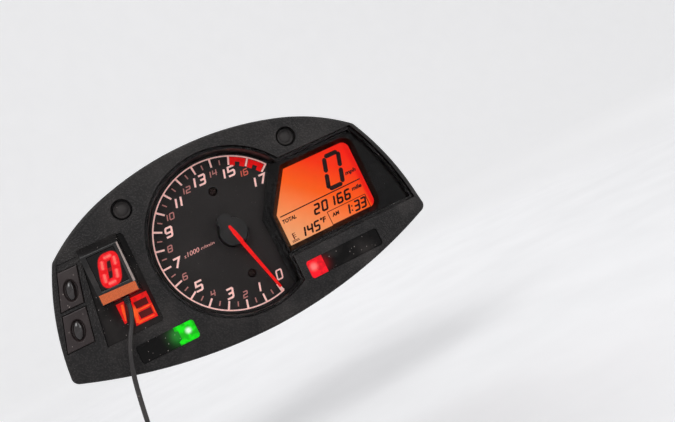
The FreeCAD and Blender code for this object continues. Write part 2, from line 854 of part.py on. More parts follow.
BLADE = [
    ("-0.5 * needle_root_width", "0", None),
    ("0.5 * needle_root_width", "0", None),
    ("0.5 * needle_tip_width", "needle_tip_radius", None),
    ("-0.5 * needle_tip_width", "needle_tip_radius", None),
]
blade = slab("blade", outline("blade_outline", BLADE), "needle_level", "needle_level + needle_thick")
blade_rib = block("blade_rib", "-0.5 * needle_root_width", "0", "needle_level",
                  "0.5 * needle_root_width", "cap_top_radius - 1", "cap_top_level - 0.3")
node("needle", turned("needle_at_rest", join("needle_blade", blade, blade_rib)))
cap_cone = doc.addObject("Part::Cone", "cap_cone")
bind(cap_cone, Radius1="cap_base_radius", Radius2="cap_top_radius",
     Height="cap_top_level - cap_level", Placement__Base__z="cap_level")
cap_tail = cylinder("cap_tail", "0", "-1 * cap_tail_distance", "cap_level", "cap_top_level",
                    "cap_tail_radius")
cap_slot = block("cap_slot", "-0.5 * needle_root_width - cap_slot_side_gap", "0", "needle_level",
                 "0.5 * needle_root_width + cap_slot_side_gap", "2 * cap_base_radius",
                 "2 * cap_top_level")
cap_bore = cylinder("cap_bore", "0", "0", "cap_level", "needle_level", "shaft_radius")
node("needle_cap", turned("cap_at_rest",
                          cut("cap_body", join("cap_solid", cap_cone, cap_tail), cap_slot, cap_bore)))
node("needle_shaft", cylinder("shaft", "0", "0", FLOOR_BACK + " - bearing_depth + shaft_end_gap",
                              "needle_level", "shaft_radius"))

# Lamp slots: a smoked strip and one lit lamp in each, seated behind the skin


def slot_lens(name, slot, left, right, left_lap, right_lap):
    """A lens behind a slot with a raised face in it; laps as sums of sizes."""
    plate = block(name + "_plate", left + " - " + left_lap, "slot_bottom_y - slot_foot_lap",
                  SKIN_BACK + " - slot_lens_thick", right + " + " + right_lap,
                  "slot_top_y + slot_lap", SKIN_BACK)
    face_left = left + (" + trim_gap" if left_lap != "0" else "")
    face_right = right + (" - trim_gap" if right_lap != "0" else "")
    span = block(name + "_span", face_left, "slot_bottom_y", SKIN_BACK + " - slot_lens_thick",
                 face_right, "slot_top_y", "front_level")
    inside = slab(name + "_inside",
                  offset(name + "_inside_profile", outline(name + "_slot", slot), "-1 * trim_gap"),
                  SKIN_BACK + " - slot_lens_thick", "front_level - slot_lens_drop")
    return join(name + "_lens", plate, common(name + "_face", span, inside))


node("left_lamp_strip", slot_lens("left_strip", LEFT_SLOT, "left_slot_left_x",
                                  "left_slot_right_x - lamp_width - trim_gap", "slot_lap", "0"))
node("neutral_lamp", slot_lens("neutral", LEFT_SLOT, "left_slot_right_x - lamp_width",
                               "left_slot_right_x", "0", "slot_lap"))
node("right_lamp_strip", slot_lens("right_strip", RIGHT_SLOT,
                                   "right_slot_left_x + red_lamp_width + trim_gap",
                                   "right_slot_right_x", "0", "slot_lap"))
node("oil_lamp", slot_lens("oil", RIGHT_SLOT, "right_slot_left_x",
                           "right_slot_left_x + red_lamp_width", "slot_lap", "0"))

# Warning panel with its amber lamp

panel_profile = outline("panel_profile", WARNING_PANEL)
PANEL_FACE = "front_level - panel_lens_drop"
PANEL_BACK = SKIN_BACK + " - panel_lens_thick"
panel_plate = slab("panel_plate", offset("panel_plate_profile", panel_profile, "panel_lap"),
                   PANEL_BACK, SKIN_BACK)
panel_face = slab("panel_face", offset("panel_face_profile", panel_profile, "-1 * trim_gap"),
                  PANEL_BACK, PANEL_FACE)
lamp_space = block("lamp_space", "warning_left_x - trim_gap", "warning_bottom_y - trim_gap",
                   PANEL_BACK + " + lamp_floor", "warning_right_x + trim_gap",
                   "warning_top_y + trim_gap", "front_level")
node("warning_panel", cut("panel_body", join("panel_solid", panel_plate, panel_face), lamp_space))
node("warning_lamp", block("warning_lens", "warning_left_x", "warning_bottom_y",
                           PANEL_BACK + " + lamp_floor", "warning_right_x", "warning_top_y",
                           PANEL_FACE))

# Buttons, each with a long dome, on a stem that stands on the rear flange

for label, corner_rows, x, y in (
        ("upper_button", UPPER_BUTTON, "upper_dome_x", "upper_dome_y"),
        ("lower_button", LOWER_BUTTON, "lower_dome_x", "lower_dome_y")):
    profile = offset(label + "_profile", outline(label + "_outline", corner_rows), "-1 * button_gap")
    top = "front_level + button_rise"
    plate = slab(label + "_plate", profile, top + " - button_thick", top + " - button_bevel")
    crown = slab(label + "_crown", profile, top + " - button_bevel", top)
    bind(crown, TaperAngle="-1 * button_bevel_angle")
    stem = cylinder(label + "_stem", x, y, FLANGE_FRONT, top + " - button_thick",
                    "button_stem_radius")
    dome = doc.addObject("Part::Ellipsoid", label + "_dome")
    bind(dome, Radius1="dome_rise", Radius2="0.5 * dome_width", Radius3="0.5 * dome_length")
    dome.Placement = FreeCAD.Placement(V(0, 0, 0), FreeCAD.Rotation(V(0, 0, 1), -10.0))
    bind(dome, Placement__Base__x=x, Placement__Base__y=y, Placement__Base__z=top,
         Placement__Rotation__Angle="-1 * dome_tilt")
    node(label, join(label + "_body", plate, crown, stem, dome))

# Plugs in the round recesses

node("face_plugs", *[
    cylinder("face_plug", x, y, "front_level - plug_recess_depth",
             "front_level - plug_recess_depth + plug_thick", "plug_radius")
    for x, y in PLUGS])

# Gasket between the two halves, let round the screw bosses

face_profile = outline("face_profile", FACE)
gasket_outside = slab("gasket_outside", offset("gasket_outline", face_profile, "-1 * flange_margin"),
                      FLANGE_FRONT, "joint_level")
gasket_inside = slab("gasket_inside",
                     offset("gasket_inline", face_profile, "-1 * flange_margin - gasket_width"),
                     FLANGE_FRONT, "joint_level")
boss_space = join("gasket_boss_space", *[
    cylinder("gasket_notch", x, y, FLANGE_FRONT, "joint_level", "boss_radius + trim_gap")
    for x, y in CASE_SCREWS])
node("case_gasket", cut("gasket_ring", gasket_outside, gasket_inside, boss_space))

# Rear case: a flange round a tub, with three lugs on the tub's back

flange = slab("rear_flange", offset("flange_profile", face_profile, "-1 * flange_margin"),
              FLANGE_BACK, FLANGE_FRONT)
tub = slab("tub", offset("tub_profile", face_profile, "-1 * tub_inset"),
           "tub_back_level", FLANGE_FRONT)
tub_space = slab("tub_space",
                 offset("tub_space_profile", face_profile, "-1 * tub_inset - tub_wall"),
                 TUB_FLOOR, FLANGE_FRONT)
LUGS = [("-1 * lug_x", "lug_y"), ("lug_x", "lug_y"), ("0", "top_lug_y")]
lugs = [cylinder("lug", x, y, "lug_rear_level", "lug_front_level", "lug_radius") for x, y in LUGS]
lug_holes = join("lug_holes", *[
    cylinder("lug_hole", x, y, "lug_rear_level", "lug_front_level", "lug_hole_radius")
    for x, y in LUGS])
flange_holes = join("flange_holes", *[
    cylinder("flange_hole", x, y, FLANGE_BACK, FLANGE_FRONT, "screw_shank_radius")
    for x, y in CASE_SCREWS])
rear_solid = cut("rear_hollow", join("rear_outside", flange, tub), tub_space)

# Ribs on the back of the tub: a cross through each lug, kept inside the tub's outline

RIB_BACK = "tub_back_level - rib_rise"
HALF_RIB = "0.5 * rib_thick"
crosses = []
for x, y in LUGS:
    crosses.append(block("rib_across", x + " - rib_reach", y + " - " + HALF_RIB, RIB_BACK,
                         x + " + rib_reach", y + " + " + HALF_RIB, "tub_back_level"))
    crosses.append(block("rib_upright", x + " - " + HALF_RIB, y + " - rib_reach", RIB_BACK,
                         x + " + " + HALF_RIB, y + " + rib_reach", "tub_back_level"))
rib_limit = slab("rib_limit", offset("rib_limit_profile", face_profile, "-1 * tub_inset - rib_margin"),
                 RIB_BACK, "tub_back_level")
ribs = common("tub_ribs", join("rib_crosses", *crosses), rib_limit)
rear = cut("rear_body", join("rear_with_lugs", rear_solid, ribs, *lugs), lug_holes, flange_holes)
node("rear_case", rear)
node("breather", join("breather_cap",
                      cylinder("breather_neck", "breather_x", "breather_y",
                               "tub_back_level - breather_gap", "tub_back_level",
                               "breather_neck_radius"),
                      cylinder("breather_head", "breather_x", "breather_y",
                               "tub_back_level - breather_rise", "tub_back_level - breather_gap",
                               "breather_radius")))

# Rubber bushes with threaded inserts in the lugs

bushes = []
inserts = []
for x, y in LUGS:
    lip = cylinder("bush_lip", x, y, "mount_level", "lug_rear_level", "grommet_radius")
    neck = cylinder("bush_neck", x, y, "lug_rear_level", "grommet_front_level", "lug_hole_radius")
    bore = cylinder("bush_bore", x, y, "mount_level", "grommet_front_level", "insert_radius")
    bushes.append(cut("lug_bush", join("bush_solid", lip, neck), bore))
    sleeve = cylinder("insert_sleeve", x, y, "mount_level", "grommet_front_level", "insert_radius")
    thread = cylinder("insert_thread", x, y, "mount_level", "mount_level + insert_bore_length",
                      "insert_bore_radius")
    inserts.append(cut("lug_insert", sleeve, thread))
node("lug_bushes", *bushes)
node("lug_inserts", *inserts)

# Case screws from the back

case_screws = []
for x, y in CASE_SCREWS:
    head = cylinder("case_screw_head", x, y, FLANGE_BACK + " - screw_head_thick", FLANGE_BACK,
                    "screw_head_radius")
    shank = cylinder("case_screw_shank", x, y, FLANGE_BACK,
                     FLANGE_BACK + " + flange_thick + screw_length", "screw_shank_radius")
    case_screws.append(join("case_screw", head, shank))
node("case_screws", *case_screws)

# Wiring socket on the back, with two rows of pins

SOCKET_MOUTH = "tub_back_level - socket_rise"
shroud = block("socket_shroud", "socket_x - 0.5 * socket_width", "socket_y - 0.5 * socket_height",
               SOCKET_MOUTH, "socket_x + 0.5 * socket_width", "socket_y + 0.5 * socket_height",
               "tub_back_level")
socket_space = block("socket_space", "socket_x - 0.5 * socket_width + socket_wall",
                     "socket_y - 0.5 * socket_height + socket_wall", SOCKET_MOUTH,
                     "socket_x + 0.5 * socket_width - socket_wall",
                     "socket_y + 0.5 * socket_height - socket_wall",
                     "tub_back_level - socket_base")
node("wiring_socket", cut("socket_body", shroud, socket_space))
pins = []
for column in range(-4, 5):
    for line in (-1, 1):
        centre_x = "socket_x + %d * pin_pitch" % column
        centre_y = "socket_y + %g * pin_pitch" % (0.75 * line)
        pins.append(block("socket_pin", centre_x + " - 0.5 * pin_width",
                          centre_y + " - 0.5 * pin_width",
                          "tub_back_level - socket_base - pin_length",
                          centre_x + " + 0.5 * pin_width", centre_y + " + 0.5 * pin_width",
                          "tub_back_level - socket_base"))
node("socket_pins", *pins)

# Gear indicator: a bevelled box on a pad, with a smoked window

GEAR_BACK = PANEL_FACE + " + gear_pad_thick"
GEAR_FRONT = GEAR_BACK + " + gear_depth"
node("gear_pad", block("gear_pad_block", "gear_left_x + gear_pad_margin",
                       "gear_bottom_y + gear_pad_margin", PANEL_FACE,
                       "gear_right_x - gear_pad_margin", "gear_top_y - gear_pad_margin", GEAR_BACK))
wedge = doc.addObject("Part::Wedge", "gear_box")
bind(wedge, Xmin="gear_left_x", Xmax="gear_right_x", Ymin="0", Ymax="gear_depth",
     Zmin="-1 * gear_top_y", Zmax="-1 * gear_bottom_y", X2min="gear_left_x + gear_bevel_side",
     X2max="gear_right_x - gear_bevel_side", Z2min="-1 * gear_top_y + gear_bevel_top",
     Z2max="-1 * gear_bottom_y - gear_bevel_foot")
wedge.Placement = FreeCAD.Placement(V(0, 0, 0), FreeCAD.Rotation(V(1, 0, 0), 90.0))
bind(wedge, Placement__Base__z=GEAR_BACK)
middle_x = "0.5 * gear_left_x + 0.5 * gear_right_x"


def digit_window(name, gap, low, high):
    return block(name, middle_x + " - 0.5 * digit_window_width + " + gap,
                 "digit_window_y - 0.5 * digit_window_height + " + gap, low,
                 middle_x + " + 0.5 * digit_window_width - " + gap,
                 "digit_window_y + 0.5 * digit_window_height - " + gap, high)


WINDOW_SEAT = GEAR_FRONT + " - 2 * digit_window_drop"
gear_space = digit_window("digit_space", "0", WINDOW_SEAT, GEAR_FRONT + " + 1")
node("gear_case", cut("gear_body", wedge, gear_space))
node("gear_window", digit_window("digit_window", "trim_gap", WINDOW_SEAT,
                                 GEAR_FRONT + " - digit_window_drop"))
relief = doc.addObject("Part::Cylinder", "relief_sleeve")
bind(relief, Radius="relief_radius", Height="relief_length")
relief.Placement = FreeCAD.Placement(V(0, 0, 0), FreeCAD.Rotation(V(1, 0, 0), 90.0))
bind(relief, Placement__Base__x="lead_x", Placement__Base__y="gear_bottom_y",
     Placement__Base__z="lead_level")
node("lead_relief", relief)

# The indicator's own lead, from the end of its relief: straight runs joined by
# tangent arcs


def tangent_path(points):
    """Straight runs with an arc at each inner point, as large as both runs allow."""
    edges = []
    radii = []
    here = points[0]
    for index in range(1, len(points) - 1):
        before = points[index - 1] - points[index]
        after = points[index + 1] - points[index]
        shorter = min(before.Length, after.Length)
        first = V(before)
        first.normalize()
        second = V(after)
        second.normalize()
        turn = math.pi - first.getAngle(second)
        back = 0.45 * shorter
        radius = back / math.tan(turn / 2.0)
        start = points[index] + first * back
        end = points[index] + second * back
        inward = first + second
        inward.normalize()
        centre = points[index] + inward * (radius / math.cos(turn / 2.0))
        middle = centre - inward * radius
        edges.append(Part.LineSegment(here, start).toShape())
        edges.append(Part.Arc(start, middle, end).toShape())
        here = end
        radii.append(radius)
    edges.append(Part.LineSegment(here, points[-1]).toShape())
    return Part.Wire(edges), radii


LEAD_ROUTE = [
    (0.0, 0.0, 0.0),
    (0.0, -9.0, 0.0),
    (-5.9, -22.1, 2.0),
    (-12.3, -38.5, 2.0),
    (-16.9, -58.5, -1.5),
    (-20.7, -79.5, -7.5),
    (-26.0, -100.5, -14.5),
    (-29.0, -118.5, -24.5),
]
lead_start = V(amount("lead_x"), amount("gear_bottom_y - relief_length"), amount("lead_level"))
route = [lead_start + V(*point) for point in LEAD_ROUTE]
path, lead_radii = tangent_path(route)
start_way = path.Edges[0].tangentAt(path.Edges[0].FirstParameter)
section = Part.Wire([Part.makeCircle(amount("0.5 * lead_diameter"), route[0], start_way)])
lead_shape = path.makePipeShell([section], True, True)
lead = doc.addObject("Part::Feature", "lead_tube")
lead.Shape = lead_shape
expected = math.pi * amount("0.5 * lead_diameter") ** 2 * path.Length
print("lead radii", ["%.1f" % radius for radius in lead_radii])
print("lead length %.1f, volume ratio %.4f" % (path.Length, lead_shape.Volume / expected))
node("indicator_lead", lead)
end_way = route[-1] - route[-2]
end_way.normalize()
plug = doc.addObject("Part::Box", "lead_plug_block")
bind(plug, Length="plug_width", Width="plug_height", Height="plug_length")
turn = FreeCAD.Rotation(V(0, 0, 1), end_way)
across = turn.multVec(V(amount("0.5 * plug_width"), amount("0.5 * plug_height"), 0.0))
plug.Placement = FreeCAD.Placement(route[-1] - across, turn)
node("lead_plug", plug)

# Checks on every object, then one file for each sub-part

doc.recompute()
bad = [item.Name for item in doc.Objects if "Invalid" in item.State or "Error" in item.State]
if bad:
    raise RuntimeError("failed objects: " + ", ".join(bad))
os.makedirs("parts", exist_ok=True)
triangles = 0
for item in nodes:
    shape = item.Shape
    if shape.isNull() or not shape.isValid():
        raise RuntimeError(item.Label + " has no valid shape")
    box = shape.optimalBoundingBox()
    print("%-18s %2d solids %9.0f mm3  x %.1f %.1f  y %.1f %.1f  z %.1f %.1f" % (
        item.Label, len(shape.Solids), shape.Volume, box.XMin, box.XMax, box.YMin, box.YMax,
        box.ZMin, box.ZMax))
    shape.exportStep("parts/" + item.Label + ".step")
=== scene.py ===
import math
import bmesh
import bpy
import numpy as np
from mathutils import Matrix, Vector


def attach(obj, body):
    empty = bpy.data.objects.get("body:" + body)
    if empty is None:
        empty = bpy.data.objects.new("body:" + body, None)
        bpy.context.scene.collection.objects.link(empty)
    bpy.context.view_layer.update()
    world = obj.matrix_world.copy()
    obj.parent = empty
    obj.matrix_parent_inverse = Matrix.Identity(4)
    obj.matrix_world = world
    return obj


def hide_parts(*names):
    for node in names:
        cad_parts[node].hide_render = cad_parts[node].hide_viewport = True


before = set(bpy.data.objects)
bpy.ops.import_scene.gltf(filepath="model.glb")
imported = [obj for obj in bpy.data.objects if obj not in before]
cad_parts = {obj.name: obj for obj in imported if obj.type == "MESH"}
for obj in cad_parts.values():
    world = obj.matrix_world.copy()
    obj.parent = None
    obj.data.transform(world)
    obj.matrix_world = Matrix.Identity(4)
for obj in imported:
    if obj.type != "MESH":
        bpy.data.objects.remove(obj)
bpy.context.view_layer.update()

# The cluster is described in its face frame, in millimetres: x to the rider's
# right, y up, z out of the dial, with the dial's centre on its top face as zero.

MM = 0.001
MICRON = 0.000001
MOUNT_LEVEL = -38.0
LUG_HEIGHT = -28.0
FULL_TURN = 2.0 * np.pi
MERGE_DISTANCE = 0.000002
FLAT_EDGE = 0.0000005
SHARP = 35.0


def upright(points):
    """Face frame to upright frame, in metres: x stays, y becomes height over
    the lugs, and z becomes the way forward from the mounting plane."""
    x, y, z = points[..., 0], points[..., 1], points[..., 2]
    return np.stack([x * MM, (MOUNT_LEVEL - z) * MM, (y - LUG_HEIGHT) * MM], axis=-1)


def linear(red, green, blue):
    """A screen colour, 0 to 255, as a shader's linear colour: each channel
    over 255, to the power 2.2."""
    return tuple((channel / 255.0) ** 2.2 for channel in (red, green, blue))


def toned(colour, factor, lift=0.0):
    """The colour times a factor and raised by a lift, no channel over one."""
    return tuple(min(1.0, factor * channel + lift) for channel in colour)


def opaque(colour):
    return (*colour, 1.0)


def place_in_scene(name, data):
    """A new object with the given data, linked to the scene."""
    item = bpy.data.objects.new(name, data)
    bpy.context.scene.collection.objects.link(item)
    return item


# Camera: at the height of the dial, a little to its left, rolled to the right

CAMERA_PLACE = Vector((-0.0461, -0.5106, 0.0114))
CAMERA_RIGHT = Vector((0.8741, -0.2147, -0.4358))
CAMERA_UP = Vector((0.4236, -0.1024, 0.9000))
CAMERA_FORWARD = Vector((0.2379, 0.9713, -0.0014))

camera_data = bpy.data.cameras.new("camera")
camera_data.lens = 38.4
camera_data.sensor_width = 36.0
camera_data.clip_start = 0.01
camera = place_in_scene("camera", camera_data)
turned = Matrix((CAMERA_RIGHT, CAMERA_UP, -CAMERA_FORWARD)).transposed()
camera.matrix_world = Matrix.Translation(CAMERA_PLACE) @ turned.to_4x4()
bpy.context.scene.camera = camera
bpy.context.scene.view_settings.view_transform = "Standard"


# Shader nodes in short

def feed(item, **values):
    """Links or sets inputs of a node. They are named, with an underscore for
    a space, or numbered as i0, i1 and so on."""
    for key, value in values.items():
        numbered = key[0] == "i" and key[1:].isdigit()
        socket = item.inputs[int(key[1:]) if numbered else key.replace("_", " ")]
        if isinstance(value, bpy.types.NodeSocket):
            item.id_data.links.new(value, socket)
        else:
            socket.default_value = value


def node(kind, settings=None, tree=None, **values):
    """A shader node with its settings, and its inputs linked or set. Unless a
    tree is given, it goes where the sockets are that it is linked to."""
    if tree is None:
        tree = next(value.id_data for value in values.values()
                    if isinstance(value, bpy.types.NodeSocket))
    item = tree.nodes.new("ShaderNode" + kind)
    for key, value in (settings or {}).items():
        setattr(item, key, value)
    feed(item, **values)
    return item


def maths(operation, first, second=0.0, clamp=False):
    """One operation on two values."""
    settings = {"operation": operation, "use_clamp": clamp}
    return node("Math", settings, i0=first, i1=second).outputs[0]


def product(first, second):
    return maths("MULTIPLY", first, second)


def ranged(value, low, high, to_low=0.0, to_high=1.0, smooth=False):
    """The value carried from one range to another, clamped at its ends."""
    return node("MapRange", {"interpolation_type": "SMOOTHSTEP" if smooth else "LINEAR"},
                i0=value, i1=low, i2=high, i3=to_low, i4=to_high).outputs[0]


def blended(factor, first, second):
    """A colour that goes from the first to the second with the factor."""
    first, second = (opaque(colour) if isinstance(colour, tuple) else colour
                     for colour in (first, second))
    return node("Mix", {"data_type": "RGBA"}, i0=factor, i6=first, i7=second).outputs[2]


def noise(place, scale, detail):
    """A soft noise between zero and one."""
    return node("TexNoise", Vector=place, Scale=scale, Detail=detail).outputs[0]


# Node groups shared by the finishes

def group(name, outputs, **inputs):
    """A shader group that takes a vector and the named inputs, each with its
    own value, or a vector where that is None. Returns the tree, the sockets
    of its inputs and its output node."""
    tree = bpy.data.node_groups.new(name, "ShaderNodeTree")
    for label, value in {"Vector": None, **inputs}.items():
        kind = "NodeSocketVector" if value is None else "NodeSocketFloat"
        socket = tree.interface.new_socket(label, in_out="INPUT", socket_type=kind)
        if value is not None:
            socket.default_value = value
    for label in outputs:
        tree.interface.new_socket(label, in_out="OUTPUT", socket_type="NodeSocketFloat")
    return tree, tree.nodes.new("NodeGroupInput").outputs, tree.nodes.new("NodeGroupOutput")


def cells(place, spacing):
    """Random cells. Returns how far the nearest cell's middle is, the cell's
    own random values, and the scale that gives the spacing."""
    scale = maths("DIVIDE", 1.0, spacing)
    item = node("TexVoronoi", {"feature": "F1"}, Vector=place, Scale=scale)
    chance = node("SeparateColor", Color=item.outputs["Color"]).outputs
    return item.outputs["Distance"], chance, scale


def make_grain():
    """Moulded grain: pebbles that fall off from the middle of small cells,
    times a noise of the same size. Hollows: where that height is low."""
    tree, inside, outside = group("moulded_grain", ("Height", "Hollows"), Size=0.0004)
    distance, _, scale = cells(inside["Vector"], inside["Size"])
    ripple = noise(inside["Vector"], scale, 3.0)
    height = product(ranged(distance, 0.0, 0.75, 1.0, 0.0, True),
                     ranged(ripple, 0.25, 0.75, 0.55, 1.0))
    feed(outside, Height=height, Hollows=ranged(height, 0.1, 0.5, 1.0, 0.0))
    return tree


def make_dust():
    """Dust: the middles of some cells are specks of a random radius, and a
    coarse noise lays a thin film."""
    tree, inside, outside = group("settled_dust", ("Mask",), Spacing=0.002, Amount=0.3)
    distance, chance, _ = cells(inside["Vector"], inside["Spacing"])
    speck = maths("LESS_THAN", distance, product(chance[0], 0.17))
    here = maths("LESS_THAN", chance[1], inside["Amount"])
    film = ranged(noise(inside["Vector"], 45.0, 4.0), 0.45, 0.75, 0.0, 0.35)
    feed(outside, Mask=maths("MAXIMUM", product(speck, here), product(film, inside["Amount"])))
    return tree


def make_scuffs():
    """Scuffs: a noise stretched along one diagonal, cut off near its peaks, so
    that short fine strokes are left."""
    tree, inside, outside = group("fine_scuffs", ("Mask",), Amount=0.3)
    stretched = node("Mapping", Vector=inside["Vector"], Rotation=(0.3, 0.8, 0.4),
                     Scale=(900.0, 60.0, 900.0)).outputs[0]
    limit = ranged(inside["Amount"], 0.0, 1.0, 0.78, 0.55)
    feed(outside, Mask=ranged(maths("SUBTRACT", noise(stretched, 1.0, 2.0), limit), 0.0, 0.08))
    return tree


def make_drops():
    """Drops: round cells whose radius and chance are the cell's own; the
    height is the upper half of an ellipse over the radius."""
    tree, inside, outside = group("water_drops", ("Height", "Mask"), Spacing=0.003, Amount=0.3)
    distance, chance, _ = cells(inside["Vector"], inside["Spacing"])
    radius = ranged(chance[0], 0.0, 1.0, 0.08, 0.34)
    share = maths("DIVIDE", distance, radius)
    left = maths("SUBTRACT", 1.0, product(share, share), True)
    here = maths("LESS_THAN", chance[1], inside["Amount"])
    height = product(product(maths("SQRT", left), radius), here)
    feed(outside, Height=height, Mask=ranged(height, 0.0, 0.02))
    return tree


def make_glow():
    """Glow: one over one plus the squared distance from a place, measured in
    the light's own reach."""
    tree, inside, outside = group("lamp_glow", ("Mask",), Place=None, Reach=0.01)
    away = node("VectorMath", {"operation": "DISTANCE"}, i0=inside["Vector"], i1=inside["Place"])
    share = maths("DIVIDE", away.outputs["Value"], inside["Reach"])
    feed(outside, Mask=maths("DIVIDE", 1.0, maths("ADD", product(share, share), 1.0)))
    return tree


GRAIN = make_grain()
DUST = make_dust()
SCUFFS = make_scuffs()
DROPS = make_drops()
GLOW = make_glow()


# Finishes. Their colours are linear in plastics and metals, and screen colours
# in lamps and prints; grain sizes and depths are in micrometres.

def finish_start(name):
    """A new material; returns it, its principled shader and the object
    coordinates."""
    material = bpy.data.materials.new(name)
    material.use_nodes = True
    shader = material.node_tree.nodes["Principled BSDF"]
    return material, shader, object_place(material)


def object_place(material):
    return node("TexCoord", tree=material.node_tree).outputs["Object"]


def shared(source, place, **values):
    """The outputs of a shared group in this material, with its own values."""
    return node("Group", {"node_tree": source}, Vector=place, **values).outputs


def glow_mask(place, middle, reach, low, high):
    """The shared glow round a middle in the face frame, from low to high."""
    middle = tuple(upright(np.array(middle, dtype=float)))
    glow = shared(GLOW, place, Place=middle, Reach=reach)["Mask"]
    return ranged(glow, low, high, 0.0, 1.0, True)


def plastic(name, colour, roughness, grain_size=400, grain_depth=20, dust=0.3, scuffs=0.2,
            dust_colour=(0.3, 0.26, 0.24), specular=0.5, hollow=0.72):
    """Moulded plastic or rubber. Colour: darkened to the given share in the
    grain's hollows, which is painted shade, and paler under dust and scuffs.
    Roughness: the given one, in soft clouds, more under dust. Height: the grain."""
    material, shader, place = finish_start(name)
    grain = shared(GRAIN, place, Size=grain_size * MICRON)
    specks = shared(DUST, place, Amount=dust)["Mask"]
    strokes = shared(SCUFFS, place, Amount=scuffs)["Mask"]
    clouds = noise(place, 30.0, 5.0)
    ground = blended(ranged(clouds, 0.35, 0.65), colour, toned(colour, 1.22, 0.004))
    # Painted shade: the colour is darker in the grain's hollows.
    ground = blended(product(grain["Hollows"], 0.8), ground, toned(colour, hollow))
    ground = blended(product(strokes, 0.5), ground, toned(colour, 1.5, 0.02))
    even = ranged(clouds, 0.3, 0.7, roughness - 0.05, roughness + 0.07)
    bump = node("Bump", Height=grain["Height"], Strength=1.0, Distance=grain_depth * MICRON)
    feed(shader, Base_Color=blended(specks, ground, dust_colour), Normal=bump.outputs[0],
         Roughness=maths("ADD", even, product(specks, 0.4), True), Specular_IOR_Level=specular)
    return material


def lit(name, ground, core, rim, middle, reach, strength=1.0, roughness=0.3, patchy=0.0):
    """A lit lens. Its light goes from the core's colour in the middle to the
    rim's colour outside, by the shared glow, broken up by a fine noise; a
    coarser noise dims patches of it."""
    material, shader, place = finish_start(name)
    ground, core, rim = linear(*ground), linear(*core), linear(*rim)
    speckle = noise(place, 900.0, 3.0)
    mask = product(glow_mask(place, middle, reach, 0.3, 0.95),
                   ranged(speckle, 0.3, 0.7, 0.82, 1.0))
    patches = ranged(noise(place, 300.0, 1.0), 0.42, 0.58, 0.0, patchy)
    feed(shader, Emission_Color=blended(mask, blended(patches, rim, toned(rim, 0.22)), core),
         Emission_Strength=strength, Specular_IOR_Level=0.25,
         Base_Color=blended(product(speckle, 0.12), ground, rim),
         Roughness=ranged(speckle, 0.3, 0.7, roughness, roughness + 0.12))
    return material


def smoked(name, light, middle, reach):
    """Smoked plastic beside a lamp: dark, with the lamp's light running into
    it by the shared glow."""
    material, shader, place = finish_start(name)
    specks = shared(DUST, place, Amount=0.35)["Mask"]
    dull = ranged(shared(SCUFFS, place, Amount=0.3)["Mask"], 0.0, 1.0, 0.12, 0.37)
    glow = glow_mask(place, middle, reach, 0.12, 0.85)
    feed(shader, Emission_Color=blended(glow, (0.0, 0.0, 0.0), linear(*light)),
         Emission_Strength=0.55, Specular_IOR_Level=0.12,
         Base_Color=blended(specks, DEEP_BLACK, (0.22, 0.19, 0.18)),
         Roughness=maths("ADD", product(specks, 0.5), dull, True))
    return material


def metal(name, colour, roughness):
    """Turned or plated metal: a fine grain of lighter and darker colour, with
    dull patches where it has aged."""
    material, shader, place = finish_start(name)
    fine = noise(place, 2500.0, 2.0)
    aged = noise(place, 220.0, 4.0)
    dark = toned(colour, 0.6)
    ground = blended(ranged(fine, 0.35, 0.65, 0.0, 0.4), colour, dark)
    feed(shader, Base_Color=blended(ranged(aged, 0.45, 0.7), ground, dark), Metallic=1.0,
         Roughness=ranged(aged, 0.35, 0.7, roughness, roughness + 0.25),
         Normal=node("Bump", Height=fine, Strength=0.4, Distance=10 * MICRON).outputs[0])
    return material


def printed(name, colour, strength, pigment=1.0, roughness=0.45):
    """Printed or lit figures: an even colour with a faint mottle and a light
    of its own in the same colour. Pigment says how much of the colour the
    surface keeps without its light."""
    material, shader, place = finish_start(name)
    colour = linear(*colour)
    mottle = noise(place, 700.0, 3.0)
    shade = blended(ranged(mottle, 0.35, 0.65), toned(colour, 0.8), colour)
    feed(shader, Base_Color=blended(pigment, (0.004, 0.004, 0.004), shade),
         Emission_Color=shade, Emission_Strength=strength, Specular_IOR_Level=0.2,
         Roughness=ranged(mottle, 0.3, 0.7, roughness, roughness + 0.1))
    return material


# Screen colours along the lit display, the two ends first
DISPLAY_COLOURS = ((0.0, (226, 164, 118)), (1.0, (232, 6, 0)), (0.25, (240, 138, 84)),
                   (0.5, (243, 90, 22)), (0.75, (240, 44, 2)))


def make_display():
    """The lit panel of the display: cream at its lower left, orange in its
    middle, red along its right edge and its upper right corner."""
    material, shader, place = finish_start("lit_display")
    axes = node("SeparateXYZ", Vector=place).outputs
    across = ranged(axes[0], 0.030, 0.095)
    up = ranged(axes[2], 0.0035, 0.0515)
    ramp = node("ValToRGB", Fac=maths("ADD", product(across, 0.55), product(up, 0.45)))
    stops = ramp.color_ramp.elements
    for index, (position, colour) in enumerate(DISPLAY_COLOURS):
        stop = stops[index] if index < 2 else stops.new(position)
        stop.color = opaque(linear(*colour))
    edge = ranged(axes[0], 0.0900, 0.0935, 0.0, 1.0, True)
    light = blended(edge, ramp.outputs[0], linear(228, 4, 2))
    clouds = noise(place, 160.0, 4.0)
    light = blended(ranged(clouds, 0.3, 0.7, 0.9, 1.0), (0.55, 0.08, 0.01), light)
    feed(shader, Emission_Color=light, Emission_Strength=1.0, Specular_IOR_Level=0.15,
         Base_Color=blended(0.95, light, (0.010, 0.004, 0.002)),
         Roughness=ranged(clouds, 0.3, 0.7, 0.3, 0.45))
    return material


